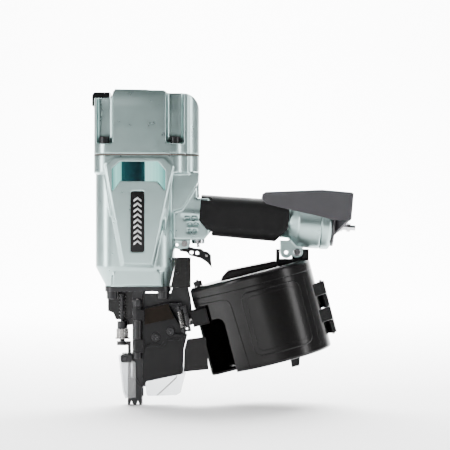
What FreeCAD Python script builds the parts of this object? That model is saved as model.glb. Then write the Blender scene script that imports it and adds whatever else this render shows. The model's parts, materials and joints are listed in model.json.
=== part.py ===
import FreeCAD, Part
import math
import os
from FreeCAD import Vector

# Coil framing nail gun. Millimetres, +Z up. Origin: middle of the nose mouth, on the drive axis.
# +X runs toward the handle end, -Y is the side with the nail door, +Z is up the drive axis.

# Housing barrel and cap
BARREL_FRONT, BARREL_REAR, BARREL_HALF_Y = -49.0, 42.0, 42.0
BARREL_CORNER_R = 24.0
BARREL_FOOT_Z, TAPER_TOP_Z, HOUSING_TOP_Z = 129.0, 151.5, 280.4
COLLAR_Z = 260.0
RIM_FRONT, RIM_REAR, RIM_HALF_Y, RIM_TAIL_HALF_Y = -50.5, 71.2, 45.0, 32.0
RIM_SHOULDER = 58.0
CAP_BASE_Z, CAP_FRONT_Z, CAP_MID_Z, CAP_REAR_Z = 281.6, 347.0, 357.0, 353.0
CAP_MID_FRONT, CAP_MID_REAR = -29.0, 33.6
CAP_TAIL_R = 19.0
CHANNEL_FRONT = (-47.0, -28.0)
CHANNEL_REAR = (33.6, 53.6)
CHANNEL_FLOOR_Z, CHANNEL_HALF_Y = 294.0, 28.0
CAP_BOLT_X, CAP_BOLT_Y = (-37.5, 43.6), 36.0
CAP_BOLT_R, CAP_BOLT_HEAD_R, CAP_BOLT_HEAD_H, CAP_BOLT_END_Z = 3.0, 5.5, 8.0, 262.0
PANEL_Y, PANEL_SLOPE, KEEL_Y = 46.0, 3.0, 41.0

# Drive cylinder
CHAMBER_R, CHAMBER_FLOOR_Z = 37.0, 152.0
SUMP_R, SUMP_FLOOR_Z = 31.0, 135.0
LINER_R, BORE_R, SEAL_BAND_R = 34.5, 30.5, 36.9
SEAL_Z = (206.0, 271.0)
SEAL_H, SEAL_GROOVE_R = 7.0, 35.2
BUMPER_TOP_Z, BUMPER_R, BUMPER_HOLE_R = 160.5, 30.0, 9.0
PISTON_BASE_Z, PISTON_TOP_Z, PISTON_R = 262.0, 276.0, 30.3
PISTON_GROOVE_Z, PISTON_GROOVE_R = (268.0, 271.0), 28.2
BLADE_TIP_Z, BLADE_R, DRIVE_BORE_R = 100.5, 3.5, 3.8
VALVE_BASE_Z, VALVE_TOP_Z, VALVE_R = 280.9, 290.0, 36.0
VALVE_STEM_R, VALVE_STEM_TOP_Z = 12.0, 306.0
HEAD_ROOM_R, HEAD_ROOM_TOP_Z = 38.5, 312.0
HEAD_GUIDE_R, HEAD_GUIDE_BASE_Z = 16.0, 297.0
EXHAUST_ROOM = [(-44, 319), (-44, 340), (-28, 340), (-24, 351.5), (30, 350), (33, 347.5), (50, 347.5),
                (60, 341), (66, 330), (66, 319)]
EXHAUST_HALF_Y = 25.0
RESERVOIR_R, RESERVOIR_Z = 39.5, (166.0, 203.0)

# Handle
HANDLE_X, HANDLE_Z, HANDLE_SLOPE = 75.9, 212.5, 5.0
HANDLE_R, HANDLE_BORE_R = 19.0, 13.0
ROOT_HALF_Y, ROOT_TOP_Z = 18.5, 231.0
VENTS = [(54.0, 69.0, 206.0, 210.5), (57.5, 70.3, 198.5, 203.0), (57.5, 68.0, 191.0, 195.5)]
VENT_RIB, VENT_DEPTH = 1.2, 3.0
GRIP_START, GRIP_END = -4.4, 100.0
GRIP_HALF_Y = 21.0
FLARE_LENGTH = 11.0
END_START, END_SEAM, END_BACK, END_R = 101.0, 138.0, 150.4, 28.4
END_BOLTS = [(21.5 * math.cos(math.radians(a)), 21.5 * math.sin(math.radians(a)))
             for a in (45, 135, 225, 315)]
END_BOLT_R, END_BOLT_HEAD_R, END_BOLT_HEAD_H = 2.5, 4.3, 4.4
END_BOLT_SEAT, END_BOLT_DEPTH = 5.0, 12.0
EAR_X0, EAR_X1, EAR_Z0 = 165.5, 192.0, 161.0
EAR_LOBE_R = 6.9
EAR_HALF_Y, EAR_SLOT_HALF_Y = 9.0, 3.2
EAR_HOLE = (172.7, 168.2)
EAR_HOLE_R = 2.4
EAR_BOLT = (185.3, 168.4)
EAR_BOLT_R, EAR_BOLT_HEAD_R = 2.6, 4.5
EAR_BOLT_HEAD_H, EAR_NUT_R, EAR_NUT_H = 3.5, 4.6, 3.6
PLUG_R, PLUG_BORE_R, PLUG_THREAD_R = 3.6, 2.4, 6.5

# Trigger
PIVOT = (54.0, 178.4)
LOCK_HOLE, LOCK_HOLE_R = (45.0, 177.0), 2.0
ARM_PIVOT = (79.5, 164.3)
TRIGGER_PIN_R, ARM_PIN_R = 2.4, 1.5
TRIGGER_HALF_Y, TRIGGER_WALL = 8.6, 1.8
LUG_INNER_Y, LUG_OUTER_Y = 9.0, 12.0
STEM_X = 69.8
BUSH_R, BUSH_CHAMBER_R = 7.8, 5.2
BUSH_BASE_Z, BUSH_TOP_Z = 178.4, 204.0
STEM_R, STEM_TIP_Z, STEM_HEAD_R = 1.7, 174.0, 4.4
STEM_HEAD_Z, BUSH_ROOM_Z = (187.0, 190.0), (183.0, 202.0)

# Nose
FLANGE_Z0, FLANGE_HALF_X, FLANGE_HALF_Y = 123.3, 38.0, 34.0
NOSE_BOLT = (29.5, 22.0)
NOSE_BOLT_R, NOSE_BOLT_HEAD_R, NOSE_BOLT_TOP_Z, NOSE_BOLT_BASE_Z = 3.5, 6.5, 144.0, 114.5
COLUMN_X, COLUMN_Y = (-7.0, 4.6), (-6.0, 8.0)
CHANNEL_Y = 4.2
MOUTH_R, MOUTH_DEPTH = 4.2, 12.0
LIP_X, LIP_TOP_Z = 5.8, 10.0
CHANNEL_TOP_Z = 96.0
HINGE_XY = (-0.7, -12.5)
HINGE_R, HINGE_PIN_R = 5.2, 1.6
HINGE_STEPS = (51.8, 66.9, 89.2, 105.8)
DOOR_OUTLINE = [(5.2, 102.4), (35.7, 109.8), (39.1, 101.2), (56.9, 71.3),
                (52.9, 54.1), (52.1, 26.8), (9.8, 17.8), (4.9, 10.4)]
DOOR_FACE_Y, DOOR_BACK_Y = -13.0, -4.5
INSERT_OUTLINE = [(8.2, 102.3), (35.0, 108.0), (42.2, 91.5), (7.5, 84.0)]
DOOR_SCREWS = [(20.5, 69.4), (38.0, 76.5)]
LATCH_FOOT, LATCH_HEAD, LATCH_Y = (54.0, 75.0), (47.0, 105.0), -18.2
LATCH_PIN_R = 1.5
LATCH_COIL_R, LATCH_COIL_WIRE, LATCH_COIL_LENGTH, LATCH_COIL_TURNS = 3.1, 0.65, 21.0, 9
LATCH_KNUCKLE_R, LATCH_KNUCKLES = 3.2, ((0.6, 4.2), (26.8, 30.2))

# Contact parts on the front of the nose
ROD_X, ROD_R = -19.0, 2.2
COLLAR_R, COLLAR_BASE_Z, COLLAR_TOP_Z = 6.1, 79.0, 87.4
KNOB_R, KNOB_BASE_Z, KNOB_TOP_Z, KNOB_FLANGE_R = 7.1, 67.0, 78.7, 8.5
KNOB_BORE_R, TIP_STEM_R = 3.1, 3.0
SHIELD_Y = (12.4, 14.8)
CLAMP_T = 1.8
LEVER_Y = (9.6, 12.0)
GUIDE_HALF_Y, GUIDE_SCREW_XZ, GUIDE_SCREW_R = 9.0, (44.4, 144.7), 1.2
TIP_BAR_X = (-12.4, -8.9)
TIP_WALL_Y = (6.4, 8.8)
TOOTH_Z, TIP_TOP_Z, TIP_BAR_TOP_Z = -10.0, 22.0, 64.2
TIP_REAR_X, TIP_FAR_Y, TIP_BOSS_R, TIP_BOSS_Z = 4.2, (8.4, 10.6), 6.6, 59.5
NOTCH_X, NOTCH_HALF_X, NOTCH_H = (-8.0, -0.5), 2.1, 5.5
GUIDE_Z = (39.0, 50.5)
GUARD_Y, GUARD_T = 11.0, 1.5
GUARD_SCREW_XZ, GUARD_SCREW_R, GUARD_SCREW_HEAD = (-15.9, 44.5), 1.6, (3.0, 1.8)
LEVER_SPRING_R, LEVER_SPRING_WIRE, LEVER_SPRING_TURNS = 3.5, 0.55, 8.5

# Magazine, in its own leaning frame
DRUM = Vector(149.5, 0, 94.1)
DRUM_TILT = 14.5
DRUM_R, DRUM_HALF_H, DRUM_WALL = 65.0, 53.0, 2.5
DRUM_NOSE_X, DRUM_NOSE_Y = -79.0, 14.0
SEAM_Z = 40.0
TOP_RIM_R, BASE_RIM_R = 5.0, 3.0
DRUM_PANEL_X, DRUM_PANEL_Z, DRUM_PANEL_R, PANEL_RISE = (-24.0, 45.0), (-40.4, 34.0), 9.0, 1.3
SPLIT_Y = 0.3
ARCH_X, ARCH_TOP_Z = -49.0, 12.3
POST_R, TRAY_R, TRAY_Z, TRAY_T = 8.0, 57.0, -44.0, 2.0
COVER_HINGE_X, COVER_HINGE_R, COVER_PIN_R = 71.5, 4.0, 1.6
COVER_HINGE_STEPS = (-39.0, -23.5, -8.0, 7.5, 23.0)
LATCH_TAB_X = -68.0
FEED_X = (-85.0, -66.0)
FEED_Y, FEED_Z = (-18.0, -5.0), (8.5, 28.5)
FEED_AXIS_Y, FEED_AXIS_Z = -10.5, 18.5
FEED_BORE_R, FEED_PISTON_R, FEED_ROD_R = 4.6, 4.5, 2.0
FEED_COIL_R, FEED_COIL_WIRE, FEED_COIL_LENGTH, FEED_COIL_TURNS = 3.2, 0.5, 3.4, 1.75

GAP = 0.3
FIT = 0.05


def box(x, y, z):
    """Box between the given pairs of limits."""
    return Part.makeBox(x[1] - x[0], y[1] - y[0], z[1] - z[0], Vector(x[0], y[0], z[0]))


def rod(radius, start, end):
    """Round bar between two points."""
    span = Vector(*end) - Vector(*start)
    return Part.makeCylinder(radius, span.Length, Vector(*start), span)


def upright(radius, x, y, z0, z1):
    return rod(radius, (x, y, z0), (x, y, z1))


def crosswise(radius, x, z, y0, y1):
    return rod(radius, (x, y0, z), (x, y1, z))


def slab(outline, y0, y1):
    """Outline of (x, z) points, drawn from y0 to y1."""
    points = [Vector(x, y0, z) for x, z in outline]
    face = Part.Face(Part.makePolygon(points + points[:1]))
    return face.extrude(Vector(0, y1 - y0, 0))


def raised(outline, y0, y1, slope):
    """Slab whose face at y0 keeps the outline, with flanks that slope outward below it."""
    wide = slab(outline, y0, y1)
    face = min(wide.Faces, key=lambda f: f.CenterOfMass.y).makeOffset2D(slope, 2)
    wide = face.extrude(Vector(0, y1 - y0, 0))
    return wide.makeChamfer(slope, [e for e in wide.Edges if e.BoundBox.YMax < y0 + 0.01])


def rounded_block(x, y, z, radius):
    """Upright block with round vertical corners."""
    block = box(x, y, z)
    corners = [e for e in block.Edges if abs(e.tangentAt(e.FirstParameter).z) > 0.99]
    return block.makeFillet(radius, corners)


def both_sides(shape):
    """The shape and its mirror image across the middle plane."""
    return Part.makeCompound([shape, shape.mirror(Vector(0, 0, 0), Vector(0, 1, 0))])


def fuse(first, *others):
    return first.fuse(list(others)).removeSplitter()


def spring(radius, wire, base, height, turns):
    """Round-wire compression spring standing on +Z."""
    pitch = (height - 2 * wire) / turns
    helix = Part.makeHelix(pitch, pitch * turns, radius)
    section = Part.Wire(Part.makeCircle(wire, Vector(radius, 0, 0), Vector(0, 1, 0)))
    coil = Part.Wire(helix).makePipeShell([section], True, True)
    coil.translate(Vector(base[0], base[1], base[2] + wire))
    return coil


def leaning(shape):
    """Places a shape drawn in the magazine's frame."""
    shape.rotate(Vector(0, 0, 0), Vector(0, 1, 0), -DRUM_TILT)
    shape.translate(DRUM)
    return shape


def along_handle(shape):
    """Places a shape drawn with the handle axis as +X from the grip's start."""
    shape.rotate(Vector(0, 0, 0), Vector(0, 1, 0), HANDLE_SLOPE)
    shape.translate(Vector(HANDLE_X, 0, HANDLE_Z))
    return shape


def export(shape, name):
    solids = shape.Solids
    whole = solids[0] if len(solids) == 1 else Part.makeCompound(solids)
    print(name, len(solids), "solids", round(sum(s.Volume for s in solids)), "mm3",
          "" if whole.isValid() else "INVALID")
    whole.exportStep("parts/" + name + ".step")


def rim_block(z0, z1):
    """Outline shared by the cap and the housing collar: round front, narrower tail."""
    front = rounded_block((RIM_FRONT, RIM_SHOULDER), (-RIM_HALF_Y, RIM_HALF_Y), (z0, z1), 19.0)
    tail = rounded_block((0, RIM_REAR), (-RIM_TAIL_HALF_Y, RIM_TAIL_HALF_Y), (z0, z1), 20.0)
    return fuse(front, tail)


def window_outline():
    """Six-sided side window with dropped ends."""
    return [(-29, 238), (-29, 264.6), (-19, 273), (24, 273), (33, 262), (33, 238.5), (24, 250.2),
            (-19, 250.6)]


def housing_shell():
    """Barrel, collar, taper and raised side panels."""
    barrel = rounded_block((BARREL_FRONT, BARREL_REAR), (-BARREL_HALF_Y, BARREL_HALF_Y),
                           (TAPER_TOP_Z, HOUSING_TOP_Z), BARREL_CORNER_R)
    sections = []
    for z, x0, x1, half_y, corner in ((TAPER_TOP_Z, BARREL_FRONT, BARREL_REAR, BARREL_HALF_Y, 24.0),
                                      (131.0, -38.0, 37.0, 36.0, 18.0)):
        thin = rounded_block((x0, x1), (-half_y, half_y), (z, z + 1), corner)
        sections.append(min(thin.Faces, key=lambda f: f.CenterOfMass.z).OuterWire)
    taper = Part.makeLoft(sections, True, True)
    foot = rounded_block((-38.0, 37.0), (-36.0, 36.0), (BARREL_FOOT_Z, 131.0), 18.0)
    collar = rim_block(COLLAR_Z, HOUSING_TOP_Z)
    panel = raised([(-35.3, 268.8), (-25.6, 277.5), (31.3, 276.9), (41.3, 267), (34, 237),
                    (16.6, 155), (-15, 156), (-30, 238)], -PANEL_Y, -BARREL_HALF_Y + 6, PANEL_SLOPE)
    ridges = slab([(-37, 260.6), (-35, 266), (-29, 238), (-30, 211)], -PANEL_Y + 1.5, -38)
    rear_ridge = slab([(42.4, 260.6), (40, 266), (33, 237), (32.4, 189)], -PANEL_Y + 1.5, -34)
    keel = raised([(-15, 156), (16.6, 155), (27, 144.5), (27, 131), (-27, 131), (-27, 144.5)],
                  -KEEL_Y, -KEEL_Y + 10, PANEL_SLOPE)
    near = fuse(panel, ridges, rear_ridge, keel)
    near = near.common(box((-60, 60), (-60, 0), (BARREL_FOOT_Z, HOUSING_TOP_Z)))
    sides = both_sides(near)
    return fuse(barrel, taper, foot, collar, *sides.Solids)


def handle_root():
    """Web that joins the barrel to the handle, over the trigger."""
    upper = slab([(20, COLLAR_Z + 1), (71.2, COLLAR_Z + 1), (70.6, 250), (52, 219), (20, 210)], -29, 29)
    web = slab([(20, 262), (71, 262), (71, ROOT_TOP_Z), (85, ROOT_TOP_Z), (85, 192.5), (78, 184.5),
                (76, 183), (20, 183)], -ROOT_HALF_Y, ROOT_HALF_Y)
    web = web.makeFillet(6.0, [e for e in web.Edges if e.BoundBox.YLength < 0.1
                               and e.BoundBox.XMin > 70 and e.BoundBox.ZLength > 12])
    lug = slab([(41, 190), (41, 173.5), (48, 171.5), (58.5, 173), (60.5, 178), (60.5, 190)],
               -LUG_OUTER_Y, -LUG_INNER_Y)
    return [upper, web] + both_sides(lug).Solids


def vents():
    """Three recessed slots on each side of the root, each split by an upright rib."""
    slots = []
    for x0, x1, z0, z1 in VENTS:
        middle = (x0 + x1) / 2
        for a, b in ((x0, middle - VENT_RIB / 2), (middle + VENT_RIB / 2, x1)):
            slots.append(box((a, b), (-ROOT_HALF_Y - 1, -ROOT_HALF_Y + VENT_DEPTH), (z0, z1)))
    return both_sides(Part.makeCompound(slots)).Solids


def handle_casting():
    tube = rod(HANDLE_R, (-25, 0, 0), (END_START + 2, 0, 0))
    flare = Part.makeCone(HANDLE_R, END_R, FLARE_LENGTH, Vector(END_START, 0, 0), Vector(1, 0, 0))
    end = rod(END_R, (END_START + FLARE_LENGTH, 0, 0), (END_SEAM, 0, 0))
    return along_handle(fuse(tube, flare, end))


def bracket_ears():
    lobes = [crosswise(EAR_LOBE_R, x, z, -EAR_HALF_Y, EAR_HALF_Y) for x, z in (EAR_HOLE, EAR_BOLT)]
    yoke = box((EAR_X0, EAR_X1), (-EAR_HALF_Y, EAR_HALF_Y), (EAR_HOLE[1] + 1, 182.0))
    body = fuse(yoke, *lobes)
    slot = box((178.5, EAR_X1 + 1), (-EAR_SLOT_HALF_Y, EAR_SLOT_HALF_Y), (EAR_Z0 - 1, 175.5))
    return body.cut(slot)


def housing():
    shape = fuse(housing_shell(), *handle_root(), handle_casting(), bracket_ears())
    chamber = upright(CHAMBER_R, 0, 0, CHAMBER_FLOOR_Z, HOUSING_TOP_Z + 1)
    sump = upright(SUMP_R, 0, 0, SUMP_FLOOR_Z, CHAMBER_FLOOR_Z + 1)
    throat = upright(12.0, 0, 0, BARREL_FOOT_Z - 1, SUMP_FLOOR_Z + 1)
    air = along_handle(rod(HANDLE_BORE_R, (-45, 0, 0), (END_SEAM + 1, 0, 0)))
    bush = upright(BUSH_R + FIT, STEM_X, 0, 180, BUSH_TOP_Z + 0.2)
    pivot = crosswise(TRIGGER_PIN_R + FIT, PIVOT[0], PIVOT[1], -20, 20)
    lock_hole = crosswise(LOCK_HOLE_R, *LOCK_HOLE, -20, 20)
    ear_hole = crosswise(EAR_HOLE_R, EAR_HOLE[0], EAR_HOLE[1], -12, 12)
    ear_bolt = crosswise(EAR_BOLT_R + FIT, EAR_BOLT[0], EAR_BOLT[1], -12, 12)
    windows = both_sides(slab(window_outline(), -PANEL_Y - 1, -PANEL_Y + 3.2))
    label = both_sides(slab([(-7.2, 168.8), (8.9, 168.8), (8.9, 239.2), (-7.2, 239.2)],
                            -PANEL_Y - 1, -PANEL_Y + 0.6))
    reservoir = upright(RESERVOIR_R, 0, 0, *RESERVOIR_Z)
    root_room = slab([(30, 254), (62, 254), (58, 212), (30, 212)], -13, 13)
    cuts = [chamber, sump, throat, air, bush, pivot, lock_hole, ear_hole, ear_bolt, reservoir]
    cuts += [root_room] + windows.Solids + label.Solids + vents()
    for x in CAP_BOLT_X:
        for y in (-CAP_BOLT_Y, CAP_BOLT_Y):
            cuts.append(upright(CAP_BOLT_R + FIT, x, y, CAP_BOLT_END_Z, HOUSING_TOP_Z + 1))
    for x in (-NOSE_BOLT[0], NOSE_BOLT[0]):
        for y in (-NOSE_BOLT[1], NOSE_BOLT[1]):
            cuts.append(upright(NOSE_BOLT_R + FIT, x, y, 128, NOSE_BOLT_TOP_Z))
    for y, z in END_BOLTS:
        cuts.append(along_handle(rod(END_BOLT_R + FIT, (END_SEAM - END_BOLT_DEPTH - 2, y, z),
                                     (END_SEAM + 1, y, z))))
    return shape.cut(cuts)


def grip():
    """Moulded sleeve, taller than wide, with a cut-back lower rear edge."""
    outline = [(GRIP_START, 22.8), (70, 24.4), (GRIP_END - 2, 22), (GRIP_END, 12), (GRIP_END, -8),
               (86, -24.3), (11, -24), (GRIP_START, -7)]
    sleeve = slab(outline, -GRIP_HALF_Y, GRIP_HALF_Y)
    long_edges = [e for e in sleeve.Edges if e.BoundBox.YLength < 0.1 and e.BoundBox.XLength > 20]
    sleeve = sleeve.makeFillet(13.0, long_edges)
    sleeve = sleeve.cut(rod(HANDLE_R + FIT, (-5, 0, 0), (END_BACK, 0, 0)))
    return along_handle(sleeve).cut(handle_block())


def handle_block():
    """Space taken by the web at the front of the grip."""
    return box((40, 85.5), (-ROOT_HALF_Y - 0.1, ROOT_HALF_Y + 0.1), (180, ROOT_TOP_Z + 0.1))


def cap_profile():
    """Side outline of the cap: front pod, raised middle, tail with a large round corner."""
    points = [Vector(RIM_FRONT - 1, 0, CAP_BASE_Z), Vector(RIM_FRONT - 1, 0, CAP_FRONT_Z),
              Vector(CAP_MID_FRONT - 3, 0, CAP_FRONT_Z), Vector(CAP_MID_FRONT + 4, 0, CAP_MID_Z),
              Vector(CAP_MID_REAR - 3, 0, CAP_MID_Z - 1.5), Vector(CAP_MID_REAR + 2, 0, CAP_REAR_Z),
              Vector(RIM_REAR - CAP_TAIL_R, 0, CAP_REAR_Z)]
    edges = [Part.makeLine(a, b) for a, b in zip(points, points[1:])]
    knee = Vector(RIM_REAR - CAP_TAIL_R * (1 - math.sin(math.pi / 4)), 0,
                  CAP_REAR_Z - CAP_TAIL_R * (1 - math.cos(math.pi / 4)))
    tail = Vector(RIM_REAR, 0, CAP_REAR_Z - CAP_TAIL_R)
    edges.append(Part.Arc(points[-1], knee, tail).toShape())
    base = Vector(RIM_REAR, 0, CAP_BASE_Z)
    edges += [Part.makeLine(tail, base), Part.makeLine(base, points[0])]
    return Part.Face(Part.Wire(edges))


def cap():
    side = cap_profile().extrude(Vector(0, 2 * RIM_HALF_Y + 4, 0))
    side.translate(Vector(0, -RIM_HALF_Y - 2, 0))
    shape = rim_block(CAP_BASE_Z, CAP_MID_Z + 2).common(side)
    channels = []
    for x in (CHANNEL_FRONT, CHANNEL_REAR):
        groove = rounded_block(x, (-RIM_HALF_Y - 12, -CHANNEL_HALF_Y),
                               (CHANNEL_FLOOR_Z, CAP_MID_Z + 5), 5.0)
        channels += both_sides(groove).Solids
    shape = shape.cut(channels)
    room = upright(HEAD_ROOM_R, 0, 0, CAP_BASE_Z - 1, HEAD_ROOM_TOP_Z)
    guide = upright(HEAD_GUIDE_R, 0, 0, HEAD_GUIDE_BASE_Z, HEAD_ROOM_TOP_Z + 2)
    shape = shape.cut(room).fuse(guide)
    riser = upright(VALVE_STEM_R + 0.1, 0, 0, HEAD_GUIDE_BASE_Z - 1, EXHAUST_ROOM[0][1] + 1)
    exhaust = slab(EXHAUST_ROOM, -EXHAUST_HALF_Y, EXHAUST_HALF_Y)
    mouth = box((-46, -33), (-14, 14), (332, CAP_FRONT_Z + 1))
    cuts = [riser, exhaust, mouth]
    for x in CAP_BOLT_X:
        for y in (-CAP_BOLT_Y, CAP_BOLT_Y):
            cuts.append(upright(CAP_BOLT_R + FIT, x, y, CAP_BASE_Z - 1, CHANNEL_FLOOR_Z + 1))
    return shape.cut(cuts)


def cap_gasket():
    sheet = rim_block(HOUSING_TOP_Z, CAP_BASE_Z).cut(upright(HEAD_ROOM_R, 0, 0, 270, 290))
    holes = [upright(CAP_BOLT_R + FIT, x, y, 270, 290)
             for x in CAP_BOLT_X for y in (-CAP_BOLT_Y, CAP_BOLT_Y)]
    return sheet.cut(holes)


def socket_bolt(radius, head_r, head_h, length):
    """Hexagon-socket bolt hanging from its head's seat at the origin."""
    bolt = fuse(upright(radius, 0, 0, -length, 0), upright(head_r, 0, 0, 0, head_h))
    rim = [e for e in bolt.Edges if abs(e.BoundBox.ZMin - head_h) < 1e-6 and e.BoundBox.ZLength < 1e-6]
    bolt = bolt.makeFillet(0.12 * head_r, rim)
    socket = Part.Face(Part.makePolygon([
        Vector(0.5 * head_r * math.cos(math.radians(60 * i)),
               0.5 * head_r * math.sin(math.radians(60 * i)), 0.45 * head_h) for i in range(7)]))
    return bolt.cut(socket.extrude(Vector(0, 0, head_h)))


def cap_bolts():
    bolts = []
    for x in CAP_BOLT_X:
        for y in (-CAP_BOLT_Y, CAP_BOLT_Y):
            bolt = socket_bolt(CAP_BOLT_R, CAP_BOLT_HEAD_R, CAP_BOLT_HEAD_H,
                               CHANNEL_FLOOR_Z - CAP_BOLT_END_Z)
            bolt.translate(Vector(x, y, CHANNEL_FLOOR_Z))
            bolts.append(bolt)
    return Part.makeCompound(bolts)


def exhaust_cover():
    """Louvred black cover over the exhaust mouth, curled down over the front edge."""
    top = box((-51.8, -32.5), (-22, 22), (CAP_FRONT_Z, 352.5))
    lip = box((-53.2, RIM_FRONT - 0.1), (-22, 22), (338, 352.5))
    cover = fuse(top, lip)
    front = [e for e in cover.Edges if e.BoundBox.YLength > 30 and e.BoundBox.ZMin > 352
             and e.BoundBox.XMax < -50]
    cover = cover.makeFillet(4.0, front)
    louvres = [box((-44.5, -35), (y, y + 3.2), (346, 350)) for y in (-13, -6, 1, 8)]
    windows = [box((-54, -45), (y, y + 3.2), (341, 350)) for y in (-13, -6, 1, 8)]
    return cover.cut(louvres + windows)


def side_windows():
    return both_sides(slab(window_outline(), -PANEL_Y + 0.3, -PANEL_Y + 3.2))


def side_labels():
    plate = slab([(-7, 169), (8.7, 169), (8.7, 239), (-7, 239)], -PANEL_Y - 0.2, -PANEL_Y + 0.6)
    corners = [e for e in plate.Edges if e.BoundBox.YLength > 0.5]
    return both_sides(plate.makeFillet(2.5, corners))


def cylinder():
    sleeve = upright(LINER_R, 0, 0, CHAMBER_FLOOR_Z, HOUSING_TOP_Z)
    bands = [upright(SEAL_BAND_R, 0, 0, z, z + SEAL_H) for z in SEAL_Z]
    grooves = []
    for z in SEAL_Z:
        outer = upright(SEAL_BAND_R + 1, 0, 0, z + 2, z + 5)
        grooves.append(outer.cut(upright(SEAL_GROOVE_R - 0.1, 0, 0, z, z + 7)))
    ports = [rod(2.0, (0, 0, 172), (40 * math.cos(a), 40 * math.sin(a), 172))
             for a in (math.radians(45 * i) for i in range(8))]
    bore = upright(BORE_R, 0, 0, CHAMBER_FLOOR_Z - 1, HOUSING_TOP_Z + 1)
    return fuse(sleeve, *bands).cut([bore] + grooves + ports)


def cylinder_seals():
    rings = []
    for z in SEAL_Z:
        ring = upright(SEAL_BAND_R, 0, 0, z + 2.2, z + 4.8)
        rings.append(ring.cut(upright(SEAL_GROOVE_R, 0, 0, z, z + 7)))
    return Part.makeCompound(rings)


def bumper():
    ring = upright(BUMPER_R, 0, 0, SUMP_FLOOR_Z, BUMPER_TOP_Z)
    rim = [e for e in ring.Edges if e.BoundBox.ZMin > BUMPER_TOP_Z - 0.1]
    ring = ring.makeChamfer(4.0, rim)
    groove = upright(BUMPER_R + 1, 0, 0, 144, 149).cut(upright(BUMPER_R - 3, 0, 0, 140, 150))
    return ring.cut([upright(BUMPER_HOLE_R, 0, 0, 130, 165), groove])


def piston():
    body = upright(PISTON_R, 0, 0, PISTON_BASE_Z, PISTON_TOP_Z)
    dish = upright(20.0, 0, 0, PISTON_TOP_Z - 5, PISTON_TOP_Z + 1)
    groove = upright(PISTON_R + 1, 0, 0, *PISTON_GROOVE_Z)
    groove = groove.cut(upright(PISTON_GROOVE_R, 0, 0, 260, 280))
    socket = upright(BLADE_R + FIT, 0, 0, PISTON_BASE_Z - 1, PISTON_BASE_Z + 8)
    return body.cut([dish, groove, socket])


def piston_ring():
    low, high = PISTON_GROOVE_Z
    ring = upright(BORE_R - FIT, 0, 0, low + 0.1, high - 0.1)
    ring = ring.cut(upright(PISTON_GROOVE_R + 0.1, 0, 0, 260, 280))
    return ring.cut(box((25, 35), (-0.4, 0.4), (260, 280)))


def driver_blade():
    blade = upright(BLADE_R, 0, 0, BLADE_TIP_Z, PISTON_BASE_Z + 8)
    tip = [e for e in blade.Edges if e.BoundBox.ZMax < BLADE_TIP_Z + 0.1]
    return blade.makeChamfer(0.4, tip)


def head_valve():
    disc = upright(VALVE_R, 0, 0, VALVE_BASE_Z, VALVE_TOP_Z)
    stem = upright(VALVE_STEM_R, 0, 0, VALVE_TOP_Z - 1, VALVE_STEM_TOP_Z)
    groove = upright(29.0, 0, 0, VALVE_TOP_Z - 2.5, VALVE_TOP_Z + 1)
    groove = groove.cut(upright(20.0, 0, 0, 280, 300))
    passage = upright(6.5, 0, 0, VALVE_BASE_Z - 1, VALVE_STEM_TOP_Z + 1)
    return fuse(disc, stem).cut([groove, passage])


def nose():
    """Steel nose: bolting flange, drive column, mouth, far wall of the nail channel, door knuckles."""
    flange = rounded_block((-FLANGE_HALF_X, FLANGE_HALF_X), (-FLANGE_HALF_Y, FLANGE_HALF_Y),
                           (FLANGE_Z0, BARREL_FOOT_Z), 12.0)
    column = box(COLUMN_X, COLUMN_Y, (0, FLANGE_Z0 + 1))
    wall = slab(DOOR_OUTLINE, CHANNEL_Y, COLUMN_Y[1])
    web = slab([(4, 100), (4, 120), (37.5, 120), (39.5, 126.5), (58.2, 126.5), (61.2, 113), (64, 84),
                (54, 78), (39, 100)], CHANNEL_Y, COLUMN_Y[1])
    cheek = box((COLUMN_X[1] - 1, 8), (CHANNEL_Y, COLUMN_Y[1]), (10.5, FLANGE_Z0 + 1))
    hinge_x, hinge_y = HINGE_XY
    z_low, z_a, z_b, z_high = HINGE_STEPS
    knuckles = []
    for z0, z1 in ((z_low - 7, z_low), (z_a + GAP, z_b - GAP), (z_high, z_high + 7)):
        knuckles.append(upright(HINGE_R, hinge_x, hinge_y, z0, z1))
        knuckles.append(box((COLUMN_X[0] + 1.5, 2.5), (hinge_y, COLUMN_Y[0] + 1), (z0, z1)))
    lip = box((COLUMN_X[0], LIP_X), COLUMN_Y, (0, LIP_TOP_Z))
    shape = fuse(flange, column, lip, wall, web, cheek, *knuckles)
    drive = upright(DRIVE_BORE_R, 0, 0, MOUTH_DEPTH - 1, BARREL_FOOT_Z + 1)
    mouth = upright(MOUTH_R, 0, 0, -1, MOUTH_DEPTH)
    feed = box((0, 10), (-CHANNEL_Y, CHANNEL_Y), (MOUTH_DEPTH, CHANNEL_TOP_Z))
    pin = upright(HINGE_PIN_R + FIT, hinge_x, hinge_y, z_low - 4, z_high + 8)
    rod_hole = upright(ROD_R + GAP, ROD_X, 0, 120, BARREL_FOOT_Z + 1)
    bolts = [upright(NOSE_BOLT_R + FIT, x, y, 120, 130)
             for x in (-NOSE_BOLT[0], NOSE_BOLT[0]) for y in (-NOSE_BOLT[1], NOSE_BOLT[1])]
    window = box((7.5, 20.5), (-FLANGE_HALF_Y - 1, -18), (120, 123.31))
    return shape.cut([drive, mouth, feed, pin, rod_hole, window] + bolts)


def nose_bolts():
    bolts = []
    for x in (-NOSE_BOLT[0], NOSE_BOLT[0]):
        for y in (-NOSE_BOLT[1], NOSE_BOLT[1]):
            bolt = socket_bolt(NOSE_BOLT_R, NOSE_BOLT_HEAD_R, FLANGE_Z0 - NOSE_BOLT_BASE_Z,
                               NOSE_BOLT_TOP_Z - FLANGE_Z0)
            bolt.rotate(Vector(0, 0, 0), Vector(1, 0, 0), 180)
            bolt.translate(Vector(x, y, FLANGE_Z0))
            bolts.append(bolt)
    return Part.makeCompound(bolts)


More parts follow.
